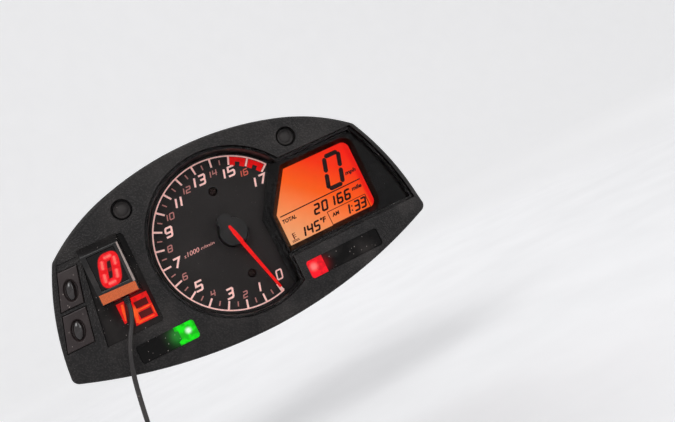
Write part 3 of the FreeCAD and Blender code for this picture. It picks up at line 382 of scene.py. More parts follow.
def make_lens():
    """The clear lens: glass with a dusty, faintly wiped surface. Light for
    the dial and light that the dial sends back pass straight through."""
    material, shader, place = finish_start("clear_lens")
    tree = material.node_tree
    wiped = noise(place, 60.0, 4.0)
    film = ranged(wiped, 0.5, 0.85, 0.0, 0.015)
    spots = ranged(shared(DUST, place, Spacing=0.0045, Amount=0.05)["Mask"], 0.3, 0.6)
    clean = blended(ranged(wiped, 0.45, 0.75), (0.99, 0.985, 0.98), (0.95, 0.94, 0.93))
    feed(shader, Base_Color=blended(spots, clean, (0.75, 0.72, 0.68)), IOR=1.003,
         Roughness=maths("ADD", film, product(spots, 0.4), True), Transmission_Weight=1.0)
    rays = node("LightPath", tree=tree).outputs
    passing = maths("MAXIMUM", rays["Is Shadow Ray"], rays["Is Diffuse Ray"])
    mixed = node("MixShader", Fac=maths("MAXIMUM", passing, rays["Is Glossy Ray"]),
                 i1=shader.outputs[0], i2=node("BsdfTransparent", tree=tree).outputs[0])
    feed(tree.nodes["Material Output"], Surface=mixed.outputs[0])
    return material


def make_case():
    """The grained face: matte black with pebbled grain, dust, scuffs, and
    drops of water gathered at its lower right. Pale specks among the drops are
    partly dust and partly painted glints of the drops."""
    material = plastic("grained_case", (0.011, 0.009, 0.009), 0.46, 1100, 240, dust=0.15,
                       scuffs=0.3, specular=0.26, hollow=0.2)
    shader = material.node_tree.nodes["Principled BSDF"]
    place = object_place(material)
    axes = node("SeparateXYZ", Vector=place).outputs
    corner = product(ranged(axes[0], 0.02, 0.09), ranged(axes[2], 0.012, -0.022))
    amount = product(corner, noise(place, 70.0, 3.0))
    drops = shared(DROPS, place, Spacing=0.0026, Amount=product(amount, 1.4))
    # Pale specks at the lower right: partly dust, partly painted glints of the water drops.
    dust_and_painted_glints = shared(DUST, place, Spacing=0.0015, Amount=product(amount, 1.3))["Mask"]
    dry, before, grain = (shader.inputs[key].links[0].from_socket
                          for key in ("Base Color", "Roughness", "Normal"))
    bump = node("Bump", Height=drops["Height"], Strength=1.0, Distance=0.0022, Normal=grain)
    feed(shader, Base_Color=blended(product(dust_and_painted_glints, 0.6), dry, (0.16, 0.15, 0.15)),
         Roughness=maths("ADD", before, product(drops["Mask"], -0.42), True),
         Normal=bump.outputs[0])
    return material


DEEP_BLACK = (0.0025, 0.002, 0.002)
LAMP_LEVEL = 13.8
PANEL_LEVEL = 13.5
DIGIT_LEVEL = 24.4
FINISHES = {
    "case": make_case(),
    "rear": plastic("moulded_rear", (0.026, 0.025, 0.026), 0.55, 700, 30, dust=0.4),
    "inner": plastic("satin_frame", (0.006, 0.005, 0.005), 0.4, 300, 4, dust=0.06, specular=0.3),
    "display_frame": plastic("gloss_display_frame", DEEP_BLACK, 0.16, 600, 0.5, dust=0.03,
                             scuffs=0.05, specular=0.18),
    "dial": plastic("dial_face", (0.021, 0.018, 0.0175), 0.5, 250, 1, dust=0.1, scuffs=0.05,
                    dust_colour=(0.06, 0.054, 0.05), specular=0.15),
    "cap": plastic("satin_cap", (0.004, 0.0035, 0.0035), 0.3, 300, 2, dust=0.08, specular=0.35),
    "button": plastic("button_skin", (0.03, 0.021, 0.021), 0.42, 300, 10, dust=0.25,
                      specular=0.3),
    "dome": plastic("button_dome", (0.016, 0.011, 0.011), 0.14, 300, 1, dust=0.05, scuffs=0.1,
                    specular=0.6),
    "plug": plastic("rubber_plug", (0.012, 0.01, 0.01), 0.55, dust=0.2, specular=0.3),
    "movement": plastic("movement_shell", (0.07, 0.07, 0.075), 0.5, 600),
    "gasket": plastic("gasket_rubber", (0.012, 0.012, 0.012), 0.75, 500),
    "bush": plastic("bush_rubber", (0.016, 0.016, 0.016), 0.7, 500, dust=0.45),
    "socket": plastic("natural_socket", (0.46, 0.45, 0.41), 0.45, 500, 10,
                      dust_colour=(0.2, 0.18, 0.15)),
    "gear": plastic("gloss_gear_case", (0.006, 0.005, 0.005), 0.2, 500, 3, dust=0.25,
                    scuffs=0.3, specular=0.35),
    "pad": plastic("foam_pad", (0.015, 0.015, 0.015), 0.9, 300, 80),
    "lead": plastic("lead_sheath", (0.014, 0.011, 0.011), 0.4, 500, 10, dust=0.2),
    # The label is real; its orange colour, and that of its dust, is painted light from the amber
    # lamp below.
    "label": plastic("label_with_painted_lamp_light", linear(214, 104, 60), 0.35, grain_depth=6, dust=0.25,
                     dust_colour=linear(150, 70, 40), specular=0.3),
    # Light grey for the painted highlight on the gear box's right edge
    "painted_edge_highlight": plastic("painted_edge_highlight", linear(160, 144, 138), 0.4, grain_depth=6, dust=0.25),
    "steel": metal("plated_steel", (0.42, 0.41, 0.40), 0.32),
    "dark_steel": metal("blackened_steel", (0.035, 0.024, 0.022), 0.24),
    "insert": metal("turned_brass", (0.62, 0.45, 0.20), 0.3),
    "pin": metal("tinned_pin", (0.66, 0.60, 0.46), 0.25),
    "display": make_display(),
    "lens": make_lens(),
    "green_lamp": lit("green_lamp_lens", (0, 30, 4), (235, 255, 235), (0, 228, 12),
                      (-52.0, -43.4, LAMP_LEVEL), 0.0021, patchy=0.6),
    "red_lamp": lit("red_lamp_lens", (40, 0, 6), (255, 126, 120), (246, 6, 34),
                    (36.0, -43.0, LAMP_LEVEL), 0.0029, patchy=0.35),
    "amber_lamp": lit("amber_lamp_lens", (40, 4, 2), (255, 104, 46), (232, 12, 8),
                      (-76.5, -18.8, PANEL_LEVEL), 0.0036, patchy=0.4),
    "window": lit("gear_window_glow", (8, 1, 2), (52, 0, 6), (6, 0, 1),
                  (-77.2, 10.8, DIGIT_LEVEL), 0.0062, 0.9, 0.2),
    "left_strip": smoked("smoked_left_strip", (0, 160, 38), (-58.0, -43.5, LAMP_LEVEL), 0.0048),
    "right_strip": smoked("smoked_right_strip", (150, 0, 20), (42.0, -44.0, LAMP_LEVEL), 0.004),
    "panel": smoked("smoked_panel", (120, 12, 10), (-74.0, -14.0, PANEL_LEVEL), 0.007),
}
# Name, screen colour, strength of its light, pigment and roughness
for finish, *values in (
        ("needle", "lit_needle", (240, 10, 6), 0.9, 0.12),
        ("figures", "dial_figures", (244, 196, 188), 0.3),
        ("unit_figures", "dial_unit_figures", (226, 160, 152), 0.22),
        ("dim_figures", "dim_dial_figures", (186, 124, 118), 0.12),
        ("red_figures", "red_dial_figures", (206, 96, 78), 0.2),
        ("red_zone", "red_zone_print", (222, 4, 8), 0.75, 0.3),
        ("segments", "dark_segments", (30, 3, 0), 0.0, 1.0, 0.6),
        ("fine_segments", "fine_dark_segments", (96, 26, 10), 0.0, 1.0, 0.6),
        ("gear_halo", "gear_digit_halo", (112, 0, 12), 0.8, 0.1),
        ("gear_bar", "gear_digit_bar", (126, 0, 14), 0.9, 0.1),
        ("gear_digit", "lit_gear_digit", (238, 0, 20), 0.95, 0.1),
        ("gear_core", "bright_gear_digit", (255, 108, 96), 1.0, 0.1),
        ("gear_inner", "inner_gear_digit", (250, 48, 56), 1.0, 0.1),
        ("lamp_windows", "lamp_windows", (96, 0, 0), 0.5, 0.3),
        ("lamp_streaks", "lamp_streaks", (255, 84, 32), 1.0, 0.1)):
    FINISHES[finish] = printed(*values)


# Meshes worked out as whole arrays

def grid_faces(rows, columns, round_rows, round_columns):
    """Four-sided faces between neighbouring points of a grid of rows and
    columns, which may close on itself either way."""
    row = np.arange(rows if round_rows else rows - 1)[:, None]
    column = np.arange(columns if round_columns else columns - 1)[None, :]
    next_row = (row + 1) % rows
    next_column = (column + 1) % columns
    return np.stack([row * columns + column, row * columns + next_column,
                     next_row * columns + next_column, next_row * columns + column],
                    axis=-1).reshape(-1, 4)


def shade_smooth(mesh, sharp):
    """Smooth shading that keeps edges sharper than the angle in degrees."""
    mesh.polygons.foreach_set("use_smooth", np.ones(len(mesh.polygons), dtype=bool))
    mesh.set_sharp_from_angle(angle=math.radians(sharp))


def tidy_mesh(mesh, sharp=SHARP):
    """Merges points that coincide, drops faces that shrank to nothing, turns
    faces outwards and keeps sharp edges."""
    shape = bmesh.new()
    shape.from_mesh(mesh)
    bmesh.ops.remove_doubles(shape, verts=shape.verts, dist=MERGE_DISTANCE)
    bmesh.ops.dissolve_degenerate(shape, edges=shape.edges, dist=FLAT_EDGE)
    bmesh.ops.recalc_face_normals(shape, faces=shape.faces)
    shape.to_mesh(mesh)
    shape.free()
    shade_smooth(mesh, sharp)
    mesh.update()


def show(name, mesh, finish, body, stands_for=()):
    """An object of the mesh with one finish, on its body."""
    mesh.materials.clear()
    mesh.materials.append(FINISHES[finish])
    item = place_in_scene(name, mesh)
    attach(item, body)
    if stands_for:
        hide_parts(*stands_for)
    return item


def piece(name, grids, finish, body="cluster", stands_for=(), sharp=SHARP):
    """One object out of several grids. Each grid is rows x columns x 3 points
    in the face frame, with whether its rows and its columns close."""
    points = []
    faces = []
    count = 0
    for grid, round_rows, round_columns in grids:
        rows, columns = grid.shape[:2]
        points.append(grid.reshape(-1, 3))
        faces.append(grid_faces(rows, columns, round_rows, round_columns) + count)
        count += rows * columns
    mesh = bpy.data.meshes.new(name)
    mesh.from_pydata(upright(np.concatenate(points)), [], np.concatenate(faces).tolist())
    tidy_mesh(mesh, sharp)
    return show(name, mesh, finish, body, stands_for)


def unit(vectors):
    """The vectors, each divided by its length."""
    return vectors / np.maximum(np.linalg.norm(vectors, axis=-1, keepdims=True), 1e-9)


def ribbon(path, width, low, high, closed=False):
    """A flat bar along a path in the face plane. Its rectangular section is
    carried along the path and mitred at each corner: the offset to each side
    is half the width over the cosine of half the turn. Width may be a list."""
    path = np.asarray(path, dtype=float)
    width = np.broadcast_to(np.asarray(width, dtype=float), (len(path),))
    if closed:
        ahead = np.roll(path, -1, axis=0) - path
        behind = path - np.roll(path, 1, axis=0)
    else:
        steps = np.diff(path, axis=0)
        ahead = np.concatenate([steps, steps[-1:]])
        behind = np.concatenate([steps[:1], steps])
    ahead = unit(ahead)
    way = unit(ahead + unit(behind))
    cosine = np.clip((way * ahead).sum(axis=1), 0.45, 1.0)
    side = np.stack([-way[:, 1], way[:, 0]], axis=1) * (0.5 * width / cosine)[:, None]
    corners = ((-1, low), (1, low), (1, high), (-1, high))
    section = np.stack([np.concatenate([path + sign * side, np.full((len(path), 1), level)], axis=1)
                        for sign, level in corners], axis=1)
    if closed:
        return section, True, True
    first, last = (np.repeat(end.mean(axis=1, keepdims=True), len(corners), axis=1)
                   for end in (section[:1], section[-1:]))
    return np.concatenate([first, section, last]), False, True


def angles_round(count):
    """Evenly spread angles of one full turn."""
    return np.linspace(0.0, FULL_TURN, count, endpoint=False)


def lathe(x, y, profile, count=48):
    """A profile of radius and level turned round an axis through x and y; it
    starts and ends on the axis, so both poles close."""
    profile = np.asarray(profile, dtype=float)
    angle = angles_round(count)[None, :]
    radius = profile[:, :1]
    grid = np.stack([x + radius * np.cos(angle), y + radius * np.sin(angle),
                     np.broadcast_to(profile[:, 1:2], (len(profile), count))], axis=-1)
    return grid, False, True


def rounded_square(count):
    """Points x and y whose fourth powers add up to one."""
    angle = angles_round(count)
    return [np.sign(part) * np.abs(part) ** 0.5 for part in (np.cos(angle), np.sin(angle))]


def clock_point(angle, radius):
    """Point at an angle in degrees clockwise from up."""
    turn = np.radians(angle)
    return np.stack([radius * np.sin(turn), radius * np.cos(turn)], axis=-1)


# The indicator's lead, from the relief under its box down to its plug

LEAD_POINTS = [
    (-0.0765, -0.0570, 0.0155), (-0.0768, -0.0572, 0.0085), (-0.0860, -0.0590, -0.0066),
    (-0.0914, -0.0590, -0.0230), (-0.0950, -0.0555, -0.0430), (-0.0982, -0.0495, -0.0640),
    (-0.1028, -0.0425, -0.0850), (-0.1055, -0.0325, -0.1030),
]
LEAD_DIAMETER = 0.003
# Distance from the lead's end, half width and half height
PLUG_STATIONS = [
    (0.0, 0.0, 0.0), (0.0, 2.2, 2.2), (1.2, 2.6, 2.5), (1.6, 4.6, 2.9), (2.2, 5.2, 3.2),
    (6.2, 5.3, 3.3), (6.4, 4.9, 2.9), (7.2, 4.9, 2.9), (7.4, 5.3, 3.3), (16.6, 5.3, 3.3),
    (17.6, 5.0, 3.0), (17.6, 4.2, 2.2), (12.0, 4.0, 2.0), (12.0, 0.0, 0.0),
]


def make_lead():
    """The lead: a smooth spline of the route's points with a round section."""
    curve = bpy.data.curves.new("lead_sheath", "CURVE")
    curve.dimensions = "3D"
    curve.bevel_depth = 0.5 * LEAD_DIAMETER
    curve.bevel_resolution = 5
    curve.resolution_u = 16
    curve.use_fill_caps = True
    spline = curve.splines.new("NURBS")
    spline.points.add(len(LEAD_POINTS) - 1)
    for point, place in zip(spline.points, LEAD_POINTS):
        point.co = (*place, 1.0)
    spline.order_u = 3
    spline.use_endpoint_u = True
    curve.materials.append(FINISHES["lead"])
    item = place_in_scene("lead", curve)
    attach(item, "cluster")
    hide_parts("indicator_lead")
    return item


def make_lead_plug():
    """The lead's plug: a rounded oblong section carried along the lead's last
    run. Half width and half height follow the stations in the table, and each
    section is a superellipse of the fourth power."""
    end = np.array(LEAD_POINTS[-1])
    way = unit(end - np.array(LEAD_POINTS[-2]))
    wide = unit(np.array([1.0, 0.0, 0.0]) - way[0] * way)
    tall = np.cross(way, wide)
    stations = np.array(PLUG_STATIONS)[:, None] * MM
    round_x, round_y = rounded_square(40)
    grid = (end + way * stations[..., :1]
            + wide * (stations[..., 1:2] * round_x[None, :, None])
            + tall * (stations[..., 2:3] * round_y[None, :, None]))
    mesh = bpy.data.meshes.new("lead_connector")
    faces = grid_faces(*grid.shape[:2], False, True)
    mesh.from_pydata(grid.reshape(-1, 3), [], faces.tolist())
    tidy_mesh(mesh)
    return show("lead_connector", mesh, "socket", "cluster", ("lead_plug",))


lead = make_lead()
lead_connector = make_lead_plug()

RELIEF_TOP = (-76.5, -8.5, 19.0)
# Radius, and distance below the relief's top
RELIEF_STATIONS = [
    (0.0, 0.0), (2.6, 0.0), (2.6, 0.5), (2.5, 0.6), (2.1, 0.7), (2.1, 1.0), (2.4, 1.1),
    (2.35, 1.6), (1.95, 1.7), (1.95, 2.0), (2.2, 2.1), (2.1, 2.7), (1.8, 2.8), (1.8, 3.1),
    (2.0, 3.2), (1.9, 4.0), (1.55, 4.0), (0.0, 4.0),
]


def make_relief():
    """The lead's relief: a taper with three grooves, turned round the lead's
    way down from the box."""
    grid, *closes = lathe(0.0, 0.0, RELIEF_STATIONS, 36)
    grid = grid[..., [0, 2, 1]] * [1.0, -1.0, 1.0] + RELIEF_TOP
    piece("relief_sleeve", [(grid, *closes)], "gear", stands_for=("lead_relief",))


make_relief()


# Print on the dial

DIAL_PRINT = (0.0, 0.09)
# Degrees clockwise from up
FIRST_MARK = 165.0
SWEEP = 246.0
MARKS = 17
MARK_STEP = SWEEP / MARKS
RED_NOTCH = 1.9
# Radii, and radius with width
RING = (50.55, 0.9)
LONG_MARK = (50.5, 44.6)
SHORT_MARK = (48.2, 45.0)
RED_OUTER = (48.4, 2.9)
RED_INNER = (45.6, 2.8)
RED_MARKS = (15, 16)
NARROW_ONE = 0.25
# Each figure's stroke in a unit box; some have a second one
STROKES = {
    "0": [(0, 0.12), (0.12, 0), (0.88, 0), (1, 0.12), (1, 0.88), (0.88, 1), (0.12, 1), (0, 0.88)],
    "1": [(0.5, 0), (0.5, 1)],
    "2": [(0, 1), (0.88, 1), (1, 0.9), (1, 0.6), (0.88, 0.5), (0.12, 0.5), (0, 0.4), (0, 0),
          (1, 0)],
    "3": [(0, 1), (0.88, 1), (1, 0.9), (1, 0.6), (0.86, 0.5), (1, 0.4), (1, 0.1), (0.88, 0),
          (0, 0)],
    "4": [(0.85, 0), (0.85, 1)],
    "5": [(1, 1), (0, 1), (0, 0.52), (0.88, 0.52), (1, 0.42), (1, 0.1), (0.88, 0), (0, 0)],
    "6": [(0.95, 1), (0.12, 1), (0, 0.9), (0, 0.1), (0.12, 0), (0.88, 0), (1, 0.1), (1, 0.44),
          (0.88, 0.54), (0.02, 0.54)],
    "7": [(0, 1), (1, 1), (0.45, 0)],
    "8": [(0, 0.1), (0.12, 0), (0.88, 0), (1, 0.1), (1, 0.9), (0.88, 1), (0.12, 1), (0, 0.9)],
    "9": [(0.05, 0), (0.88, 0), (1, 0.1), (1, 0.9), (0.88, 1), (0.12, 1), (0, 0.9), (0, 0.56),
          (0.12, 0.46), (0.98, 0.46)],
}
CLOSED_STROKES = "08"
SECOND_STROKES = {
    "3": [(0.25, 0.5), (0.86, 0.5)],
    "4": [(0.05, 1), (0, 0.42), (1.1, 0.42)],
    "8": [(0, 0.52), (1, 0.52)],
}
BOLD_FIGURES = [("3", -18.7, -35.0), ("5", -34.2, -21.8), ("7", -40.6, -2.6), ("9", -36.6, 17.6),
                ("11", -22.8, 32.4), ("13", -4.9, 39.6), ("15", 14.9, 37.0), ("17", 31.0, 23.6)]
THIN_FIGURES = [("2", -10.0, -39.9), ("4", -28.2, -30.1), ("6", -39.5, -12.5), ("8", -40.4, 7.6),
                ("10", -31.5, 26.2), ("12", -14.8, 37.4), ("14", 5.3, 40.3)]
# Height, width and stroke
BOLD_SIZE = (7.0, 4.1, 1.25)
THIN_SIZE = (4.4, 2.7, 0.72)


def figure(text, x, y, height, wide, stroke, slant=0.28):
    """A number of slanted square figures round a middle point: each figure's
    strokes are drawn in a unit box, scaled and leaned over."""
    bars = []
    widths = [wide * (NARROW_ONE if letter == "1" else 1.0) for letter in text]
    gap = 1.9 * stroke
    left = x - 0.5 * (sum(widths) + gap * (len(text) - 1))
    for letter, width in zip(text, widths):
        strokes = [(STROKES[letter], letter in CLOSED_STROKES)]
        if letter in SECOND_STROKES:
            strokes.append((SECOND_STROKES[letter], False))
        for path, closed in strokes:
            path = np.array(path)
            high = (path[:, 1] - 0.5) * (height - stroke)
            along = left + path[:, 0] * width + slant * high
            bars.append(ribbon(np.stack([along, y + high], axis=1), stroke, *DIAL_PRINT,
                               closed=closed))
        left += width + gap
    return bars


def arc_bar(start, end, count, radius, width):
    """A printed bar along an arc of the dial."""
    return ribbon(clock_point(np.linspace(start, end, count), radius), width, *DIAL_PRINT)


def mark(angle, radii, width):
    """A printed bar along a ray of the dial."""
    return ribbon(np.stack([clock_point(angle, radius) for radius in radii]), width, *DIAL_PRINT)


def make_dial_print():
    """The graduated ring with its long marks is one run of bars, the short
    marks another, and the figures stand inside them."""
    angles = FIRST_MARK + MARK_STEP * np.arange(MARKS + 1)
    bars = [arc_bar(FIRST_MARK - 0.8, angles[-1] + 0.6, 160, *RING)]
    bars += [mark(angle, LONG_MARK, [1.3, 1.15] if index else [2.6, 1.7])
             for index, angle in enumerate(angles)]
    for text, x, y in BOLD_FIGURES:
        bars += figure(text, x, y, *BOLD_SIZE)
    bars += figure("1", 0.5, -39.8, 6.8, 4.0, 1.15)
    bars += figure("0", 15.5, -38.1, 6.8, 3.6, 0.95, 0.2)
    piece("dial_marks", bars, "figures")
    short = [mark(angle, SHORT_MARK, 0.8) for angle in angles[:-3] + 0.5 * MARK_STEP]
    for text, x, y in THIN_FIGURES:
        short += figure(text, x, y, *THIN_SIZE)
    piece("dial_short_marks", short, "dim_figures")
    piece("dial_red_figure", figure("16", 23.9, 32.5, *THIN_SIZE), "red_figures")
    zone = []
    for first in RED_MARKS:
        start, stop = (FIRST_MARK + MARK_STEP * (first + share) for share in (0.07, 0.93))
        half = 0.5 * (start + stop)
        zone.append(arc_bar(start, stop, 14, *RED_OUTER))
        for low, high in ((start, half - RED_NOTCH), (half + RED_NOTCH, stop)):
            zone.append(arc_bar(low, high, 7, *RED_INNER))
    piece("dial_red_zone", zone, "red_zone")


make_dial_print()


def lettering(name, text, left, bottom, right, top, level, finish, slot, slant=0.25, thick=0.05,
              bold=0.045):
    """Small words: text made a mesh, leaned over, then fitted into a
    rectangle of the face plane."""
    curve = bpy.data.curves.new(name, "FONT")
    curve.body = text
    curve.shear = slant
    curve.offset = bold
    curve.extrude = 0.02
    curve.resolution_u = 3
    item = place_in_scene(name + "_text", curve)
    graph = bpy.context.evaluated_depsgraph_get()
    mesh = bpy.data.meshes.new_from_object(item.evaluated_get(graph))
    bpy.data.objects.remove(item)
    mesh.name = name
    flat = np.empty(len(mesh.vertices) * 3)
    mesh.vertices.foreach_get("co", flat)
    flat = flat.reshape(-1, 3)
    low = flat.min(axis=0)
    share = (flat - low) / (flat.max(axis=0) - low)
    fitted = np.array([left, bottom, level]) + share * [right - left, top - bottom, thick]
    mesh.vertices.foreach_set("co", upright(fitted).reshape(-1))
    tidy_mesh(mesh)
    show(name, mesh, finish, "cluster")


for name, text, *box in (("times", "x", -34.8, -2.2, -33.2, -0.6),
                         ("thousand", "1000", -32.6, -2.1, -23.9, 0.9),
                         ("rate", "r/min", -23.0, -1.6, -13.4, 0.3)):
    lettering("dial_unit_" + name, text, *box, DIAL_PRINT[0], "unit_figures", "dial", slant=0.3,
              thick=0.09, bold=0.005)


# Print on the display

GLASS_LEVEL = 4.5
DISPLAY_PRINT = (GLASS_LEVEL, GLASS_LEVEL + 0.06)
# The seven segments in a unit box: a is the top, b to f follow clockwise, and
# g is the middle
SEGMENTS = {
    "a": ((0, 1), (1, 1)), "b": ((1, 0.5), (1, 1)), "c": ((1, 0), (1, 0.5)),
    "d": ((0, 0), (1, 0)), "e": ((0, 0), (0, 0.5)), "f": ((0, 0.5), (0, 1)),
    "g": ((0, 0.5), (1, 0.5)),
}
LIT_SEGMENTS = {"0": "adfbec", "1": "bc", "2": "abged", "3": "abgcd", "4": "fbgc",
                "5": "afgcd", "6": "afgecd"}
# Figures with their left edges, then foot, width, height and stroke
SMALL_NUMBERS = (
    ("20166", (53.9, 59.8, 65.4, 71.4, 77.1), -13.0, 3.4, 5.9, 1.35),
    ("145", (38.6, 44.0, 49.2), -23.0, 3.2, 5.7, 1.25),
    ("133", (72.4, 79.9, 84.8), -22.5, 3.3, 5.9, 1.3),
)
TIME_BOX = [(61.8, -24.3), (90.7, -24.3), (90.7, -15.0), (61.8, -15.0)]


def digit(letter, left, foot, wide, height, stroke, slant, gap):
    """One seven-segment digit: each lit segment is a bar, short of its
    corners by the gap's share of the stroke and narrowed at both ends, in a
    box leaned over by the slant."""
    bars = []
    for name in LIT_SEGMENTS[letter]:
        start, stop = (np.array([left + x * wide + slant * y * height, foot + y * height])
                       for x, y in SEGMENTS[name])
        way = unit(stop - start)
        path = [start + way * gap * stroke, start + way * (gap + 0.35) * stroke,
                stop - way * (gap + 0.35) * stroke, stop - way * gap * stroke]
        bars.append(ribbon(path, [0.4 * stroke, stroke, stroke, 0.4 * stroke], *DISPLAY_PRINT))
    return bars


def rule(start, stop, width):
    """A straight printed bar on the display."""
    return ribbon([start, stop], width, *DISPLAY_PRINT)


def make_display_print():
    """Dark segments on the lit panel: speed, total distance, temperature and
    time, with the rules between them."""
    piece("display_speed", digit("0", 69.8, -1.8, 10.7, 21.0, 3.0, 0.30, 0.16), "segments")
    bars = []
    for text, lefts, *sizes in SMALL_NUMBERS:
        for letter, left in zip(text, lefts):
            bars += digit(letter, left, *sizes, 0.31, -0.12)
    for x, y in ((78.1, -21.2), (78.94, -18.4)):
        bars.append(rule((x - 0.5, y), (x + 0.5, y), 1.0))
    bars.append(rule((31.8, -4.6), (92.3, -4.1), 0.75))
    piece("display_digits", bars, "segments")
    rules = [ribbon(TIME_BOX, 0.5, *DISPLAY_PRINT, closed=True),
             rule((34.2, -21.9), (34.2, -17.7), 0.8)]
    rules += [rule((34.4, y), (36.0, y), 0.45) for y in (-17.9, -19.2, -20.5)]
    rules += [rule((32.2, y), (37.2, y), 0.45) for y in (-22.4, -23.2)]
    piece("display_rules", rules, "fine_segments")


make_display_print()
for name, text, *box in (("speed_unit", "mph", 84.4, 1.2, 92.6, 4.6),
                         ("total", "TOTAL", 31.8, -9.7, 41.7, -7.0),
                         ("distance_unit", "mile", 83.8, -9.5, 91.4, -6.7),
                         ("degree", "°F", 55.1, -20.2, 59.5, -16.4),
                         ("half_day", "AM", 63.8, -19.6, 69.5, -17.0)):
    lettering("display_" + name, text, *box, GLASS_LEVEL, "segments", "display")


# Round pieces and screws

PLUG_PLACES = [(-56.5, 41.3), (56.5, 41.3)]
# Radius and level
PLUG_PROFILE = [(0.0, 12.55), (1.5, 12.5), (3.0, 12.3), (3.5, 12.0), (3.8, 11.9), (4.1, 12.05),
                (4.4, 12.6), (4.8, 12.88), (5.2, 12.75), (5.5, 12.2), (5.6, 11.4), (5.6, 10.5),
                (0.0, 10.5)]
DIAL_SCREWS = [(0.0, 29.5), (0.0, -29.5)]
CASE_SCREWS = [(-113.0, -38.5), (-50.0, -55.2), (50.0, -55.2), (111.0, -36.5), (85.0, 35.7),
               (30.0, 53.0), (-30.0, 53.0), (-89.5, 33.7)]
SCREW_SHARP = 50.0
# Shares of the head's radius, and of its rise
CROSS_ARM = 0.19
CROSS_SLOPE = 0.05
CROSS_REACH = 0.6
CROSS_END_SLOPE = 0.08
CROSS_DEPTH = 0.75


def make_plugs():
    """Plugs in the face: a low dome, a groove and a round bead, turned round
    each plug's axis."""
    piece("plug_discs", [lathe(x, y, PLUG_PROFILE) for x, y in PLUG_PLACES], "plug",
          stands_for=("face_plugs",))


def screw(x, y, radius, base, rise, out, shank_radius, shank_level, turn):
    """A cross-head screw. The head is a low dome; inside the cross, where the
    lesser of the two distances to its arms is under half an arm, it sinks.
    The grid is polar, and runs on down the shank."""
    share = np.linspace(0.0, 1.0, 20)[:, None]
    angle = angles_round(64)[None, :]
    across = np.abs(share * np.cos(angle - turn))
    along = np.abs(share * np.sin(angle - turn))
    inside = (np.clip((CROSS_ARM - np.minimum(across, along)) / CROSS_SLOPE, 0.0, 1.0)
              * np.clip((CROSS_REACH - np.maximum(across, along)) / CROSS_END_SLOPE, 0.0, 1.0))
    height = rise * (1.0 - 0.35 * share ** 2 - 0.45 * np.clip(share - 0.85, 0.0, 1.0) / 0.15)
    level = base + out * (height - CROSS_DEPTH * rise * inside)
    tail = np.array([(radius, base), (shank_radius, base), (shank_radius, shank_level),
                     (0.0, shank_level)])[..., None] + 0.0 * angle
    flat = np.concatenate([np.broadcast_to(radius * share, level.shape), tail[:, 0]])
    level = np.concatenate([level, tail[:, 1]])
    grid = np.stack([x + flat * np.cos(angle), y + flat * np.sin(angle), level], axis=-1)
    return grid, False, True


def make_screws():
    """The two screws in the dial and the eight at the back of the case, each
    with its cross turned its own way."""
    dial_screws = [screw(x, y, radius=2.75, base=-2.4, rise=1.4, out=1.0, shank_radius=1.2,
                         shank_level=-8.4, turn=0.4 + 0.03 * y) for x, y in DIAL_SCREWS]
    case_screws = [screw(x, y, radius=3.6, base=-14.2, rise=2.4, out=-1.0, shank_radius=1.6,
                         shank_level=2.8, turn=0.021 * x + 0.05 * y) for x, y in CASE_SCREWS]
    piece("dial_screw_heads", dial_screws, "dark_steel", stands_for=("dial_screws",),
          sharp=SCREW_SHARP)
    piece("case_screw_heads", case_screws, "steel", stands_for=("case_screws",),
          sharp=SCREW_SHARP)


make_plugs()
make_screws()


# Buttons

BUTTON_GAP = 0.4
BUTTON_TOP = 15.6
BUTTON_BEVEL = 0.9
BEVEL_DEPTH = 0.81
BUTTON_LEAN = math.radians(14.0)
SKIRT_FOOT = 11.6
STEM_FOOT = -11.2
STEM_RADIUS = 2.5
WELL_RADII = (4.5, 7.3)
WELL_WALL = 0.2
WELL_DEPTH = 1.5
DOME_RADII = (3.1, 6.1, 2.9)
DOME_LEVEL = 14.0
UPPER_BUTTON = [(-114.2, -0.7), (-99.0, -0.7), (-93.4, 22.5), (-106.4, 22.5)]
LOWER_BUTTON = [(-120.8, -24.5), (-103.2, -24.5), (-99.0, -2.3), (-114.2, -2.3)]


def inset(corners, distance):
    """The corners moved in so that each side moves by the distance."""
    corners = np.array(corners)
    ahead = unit(np.roll(corners, -1, axis=0) - corners)
    inward = np.stack([-ahead[:, 1], ahead[:, 0]], axis=1)
    before = np.roll(inward, 1, axis=0)
    return corners + distance * (inward + before) / (1.0 + (inward * before).sum(axis=1))[:, None]


def leaned(x, y):
    """The point turned clockwise by the button's lean."""
    return (x * math.cos(BUTTON_LEAN) + y * math.sin(BUTTON_LEAN),
            y * math.cos(BUTTON_LEAN) - x * math.sin(BUTTON_LEAN))


def spread(count):
    """Shares from zero to one, closer together towards both ends."""
    return 0.5 - 0.5 * np.cos(np.pi * np.linspace(0.0, 1.0, count))


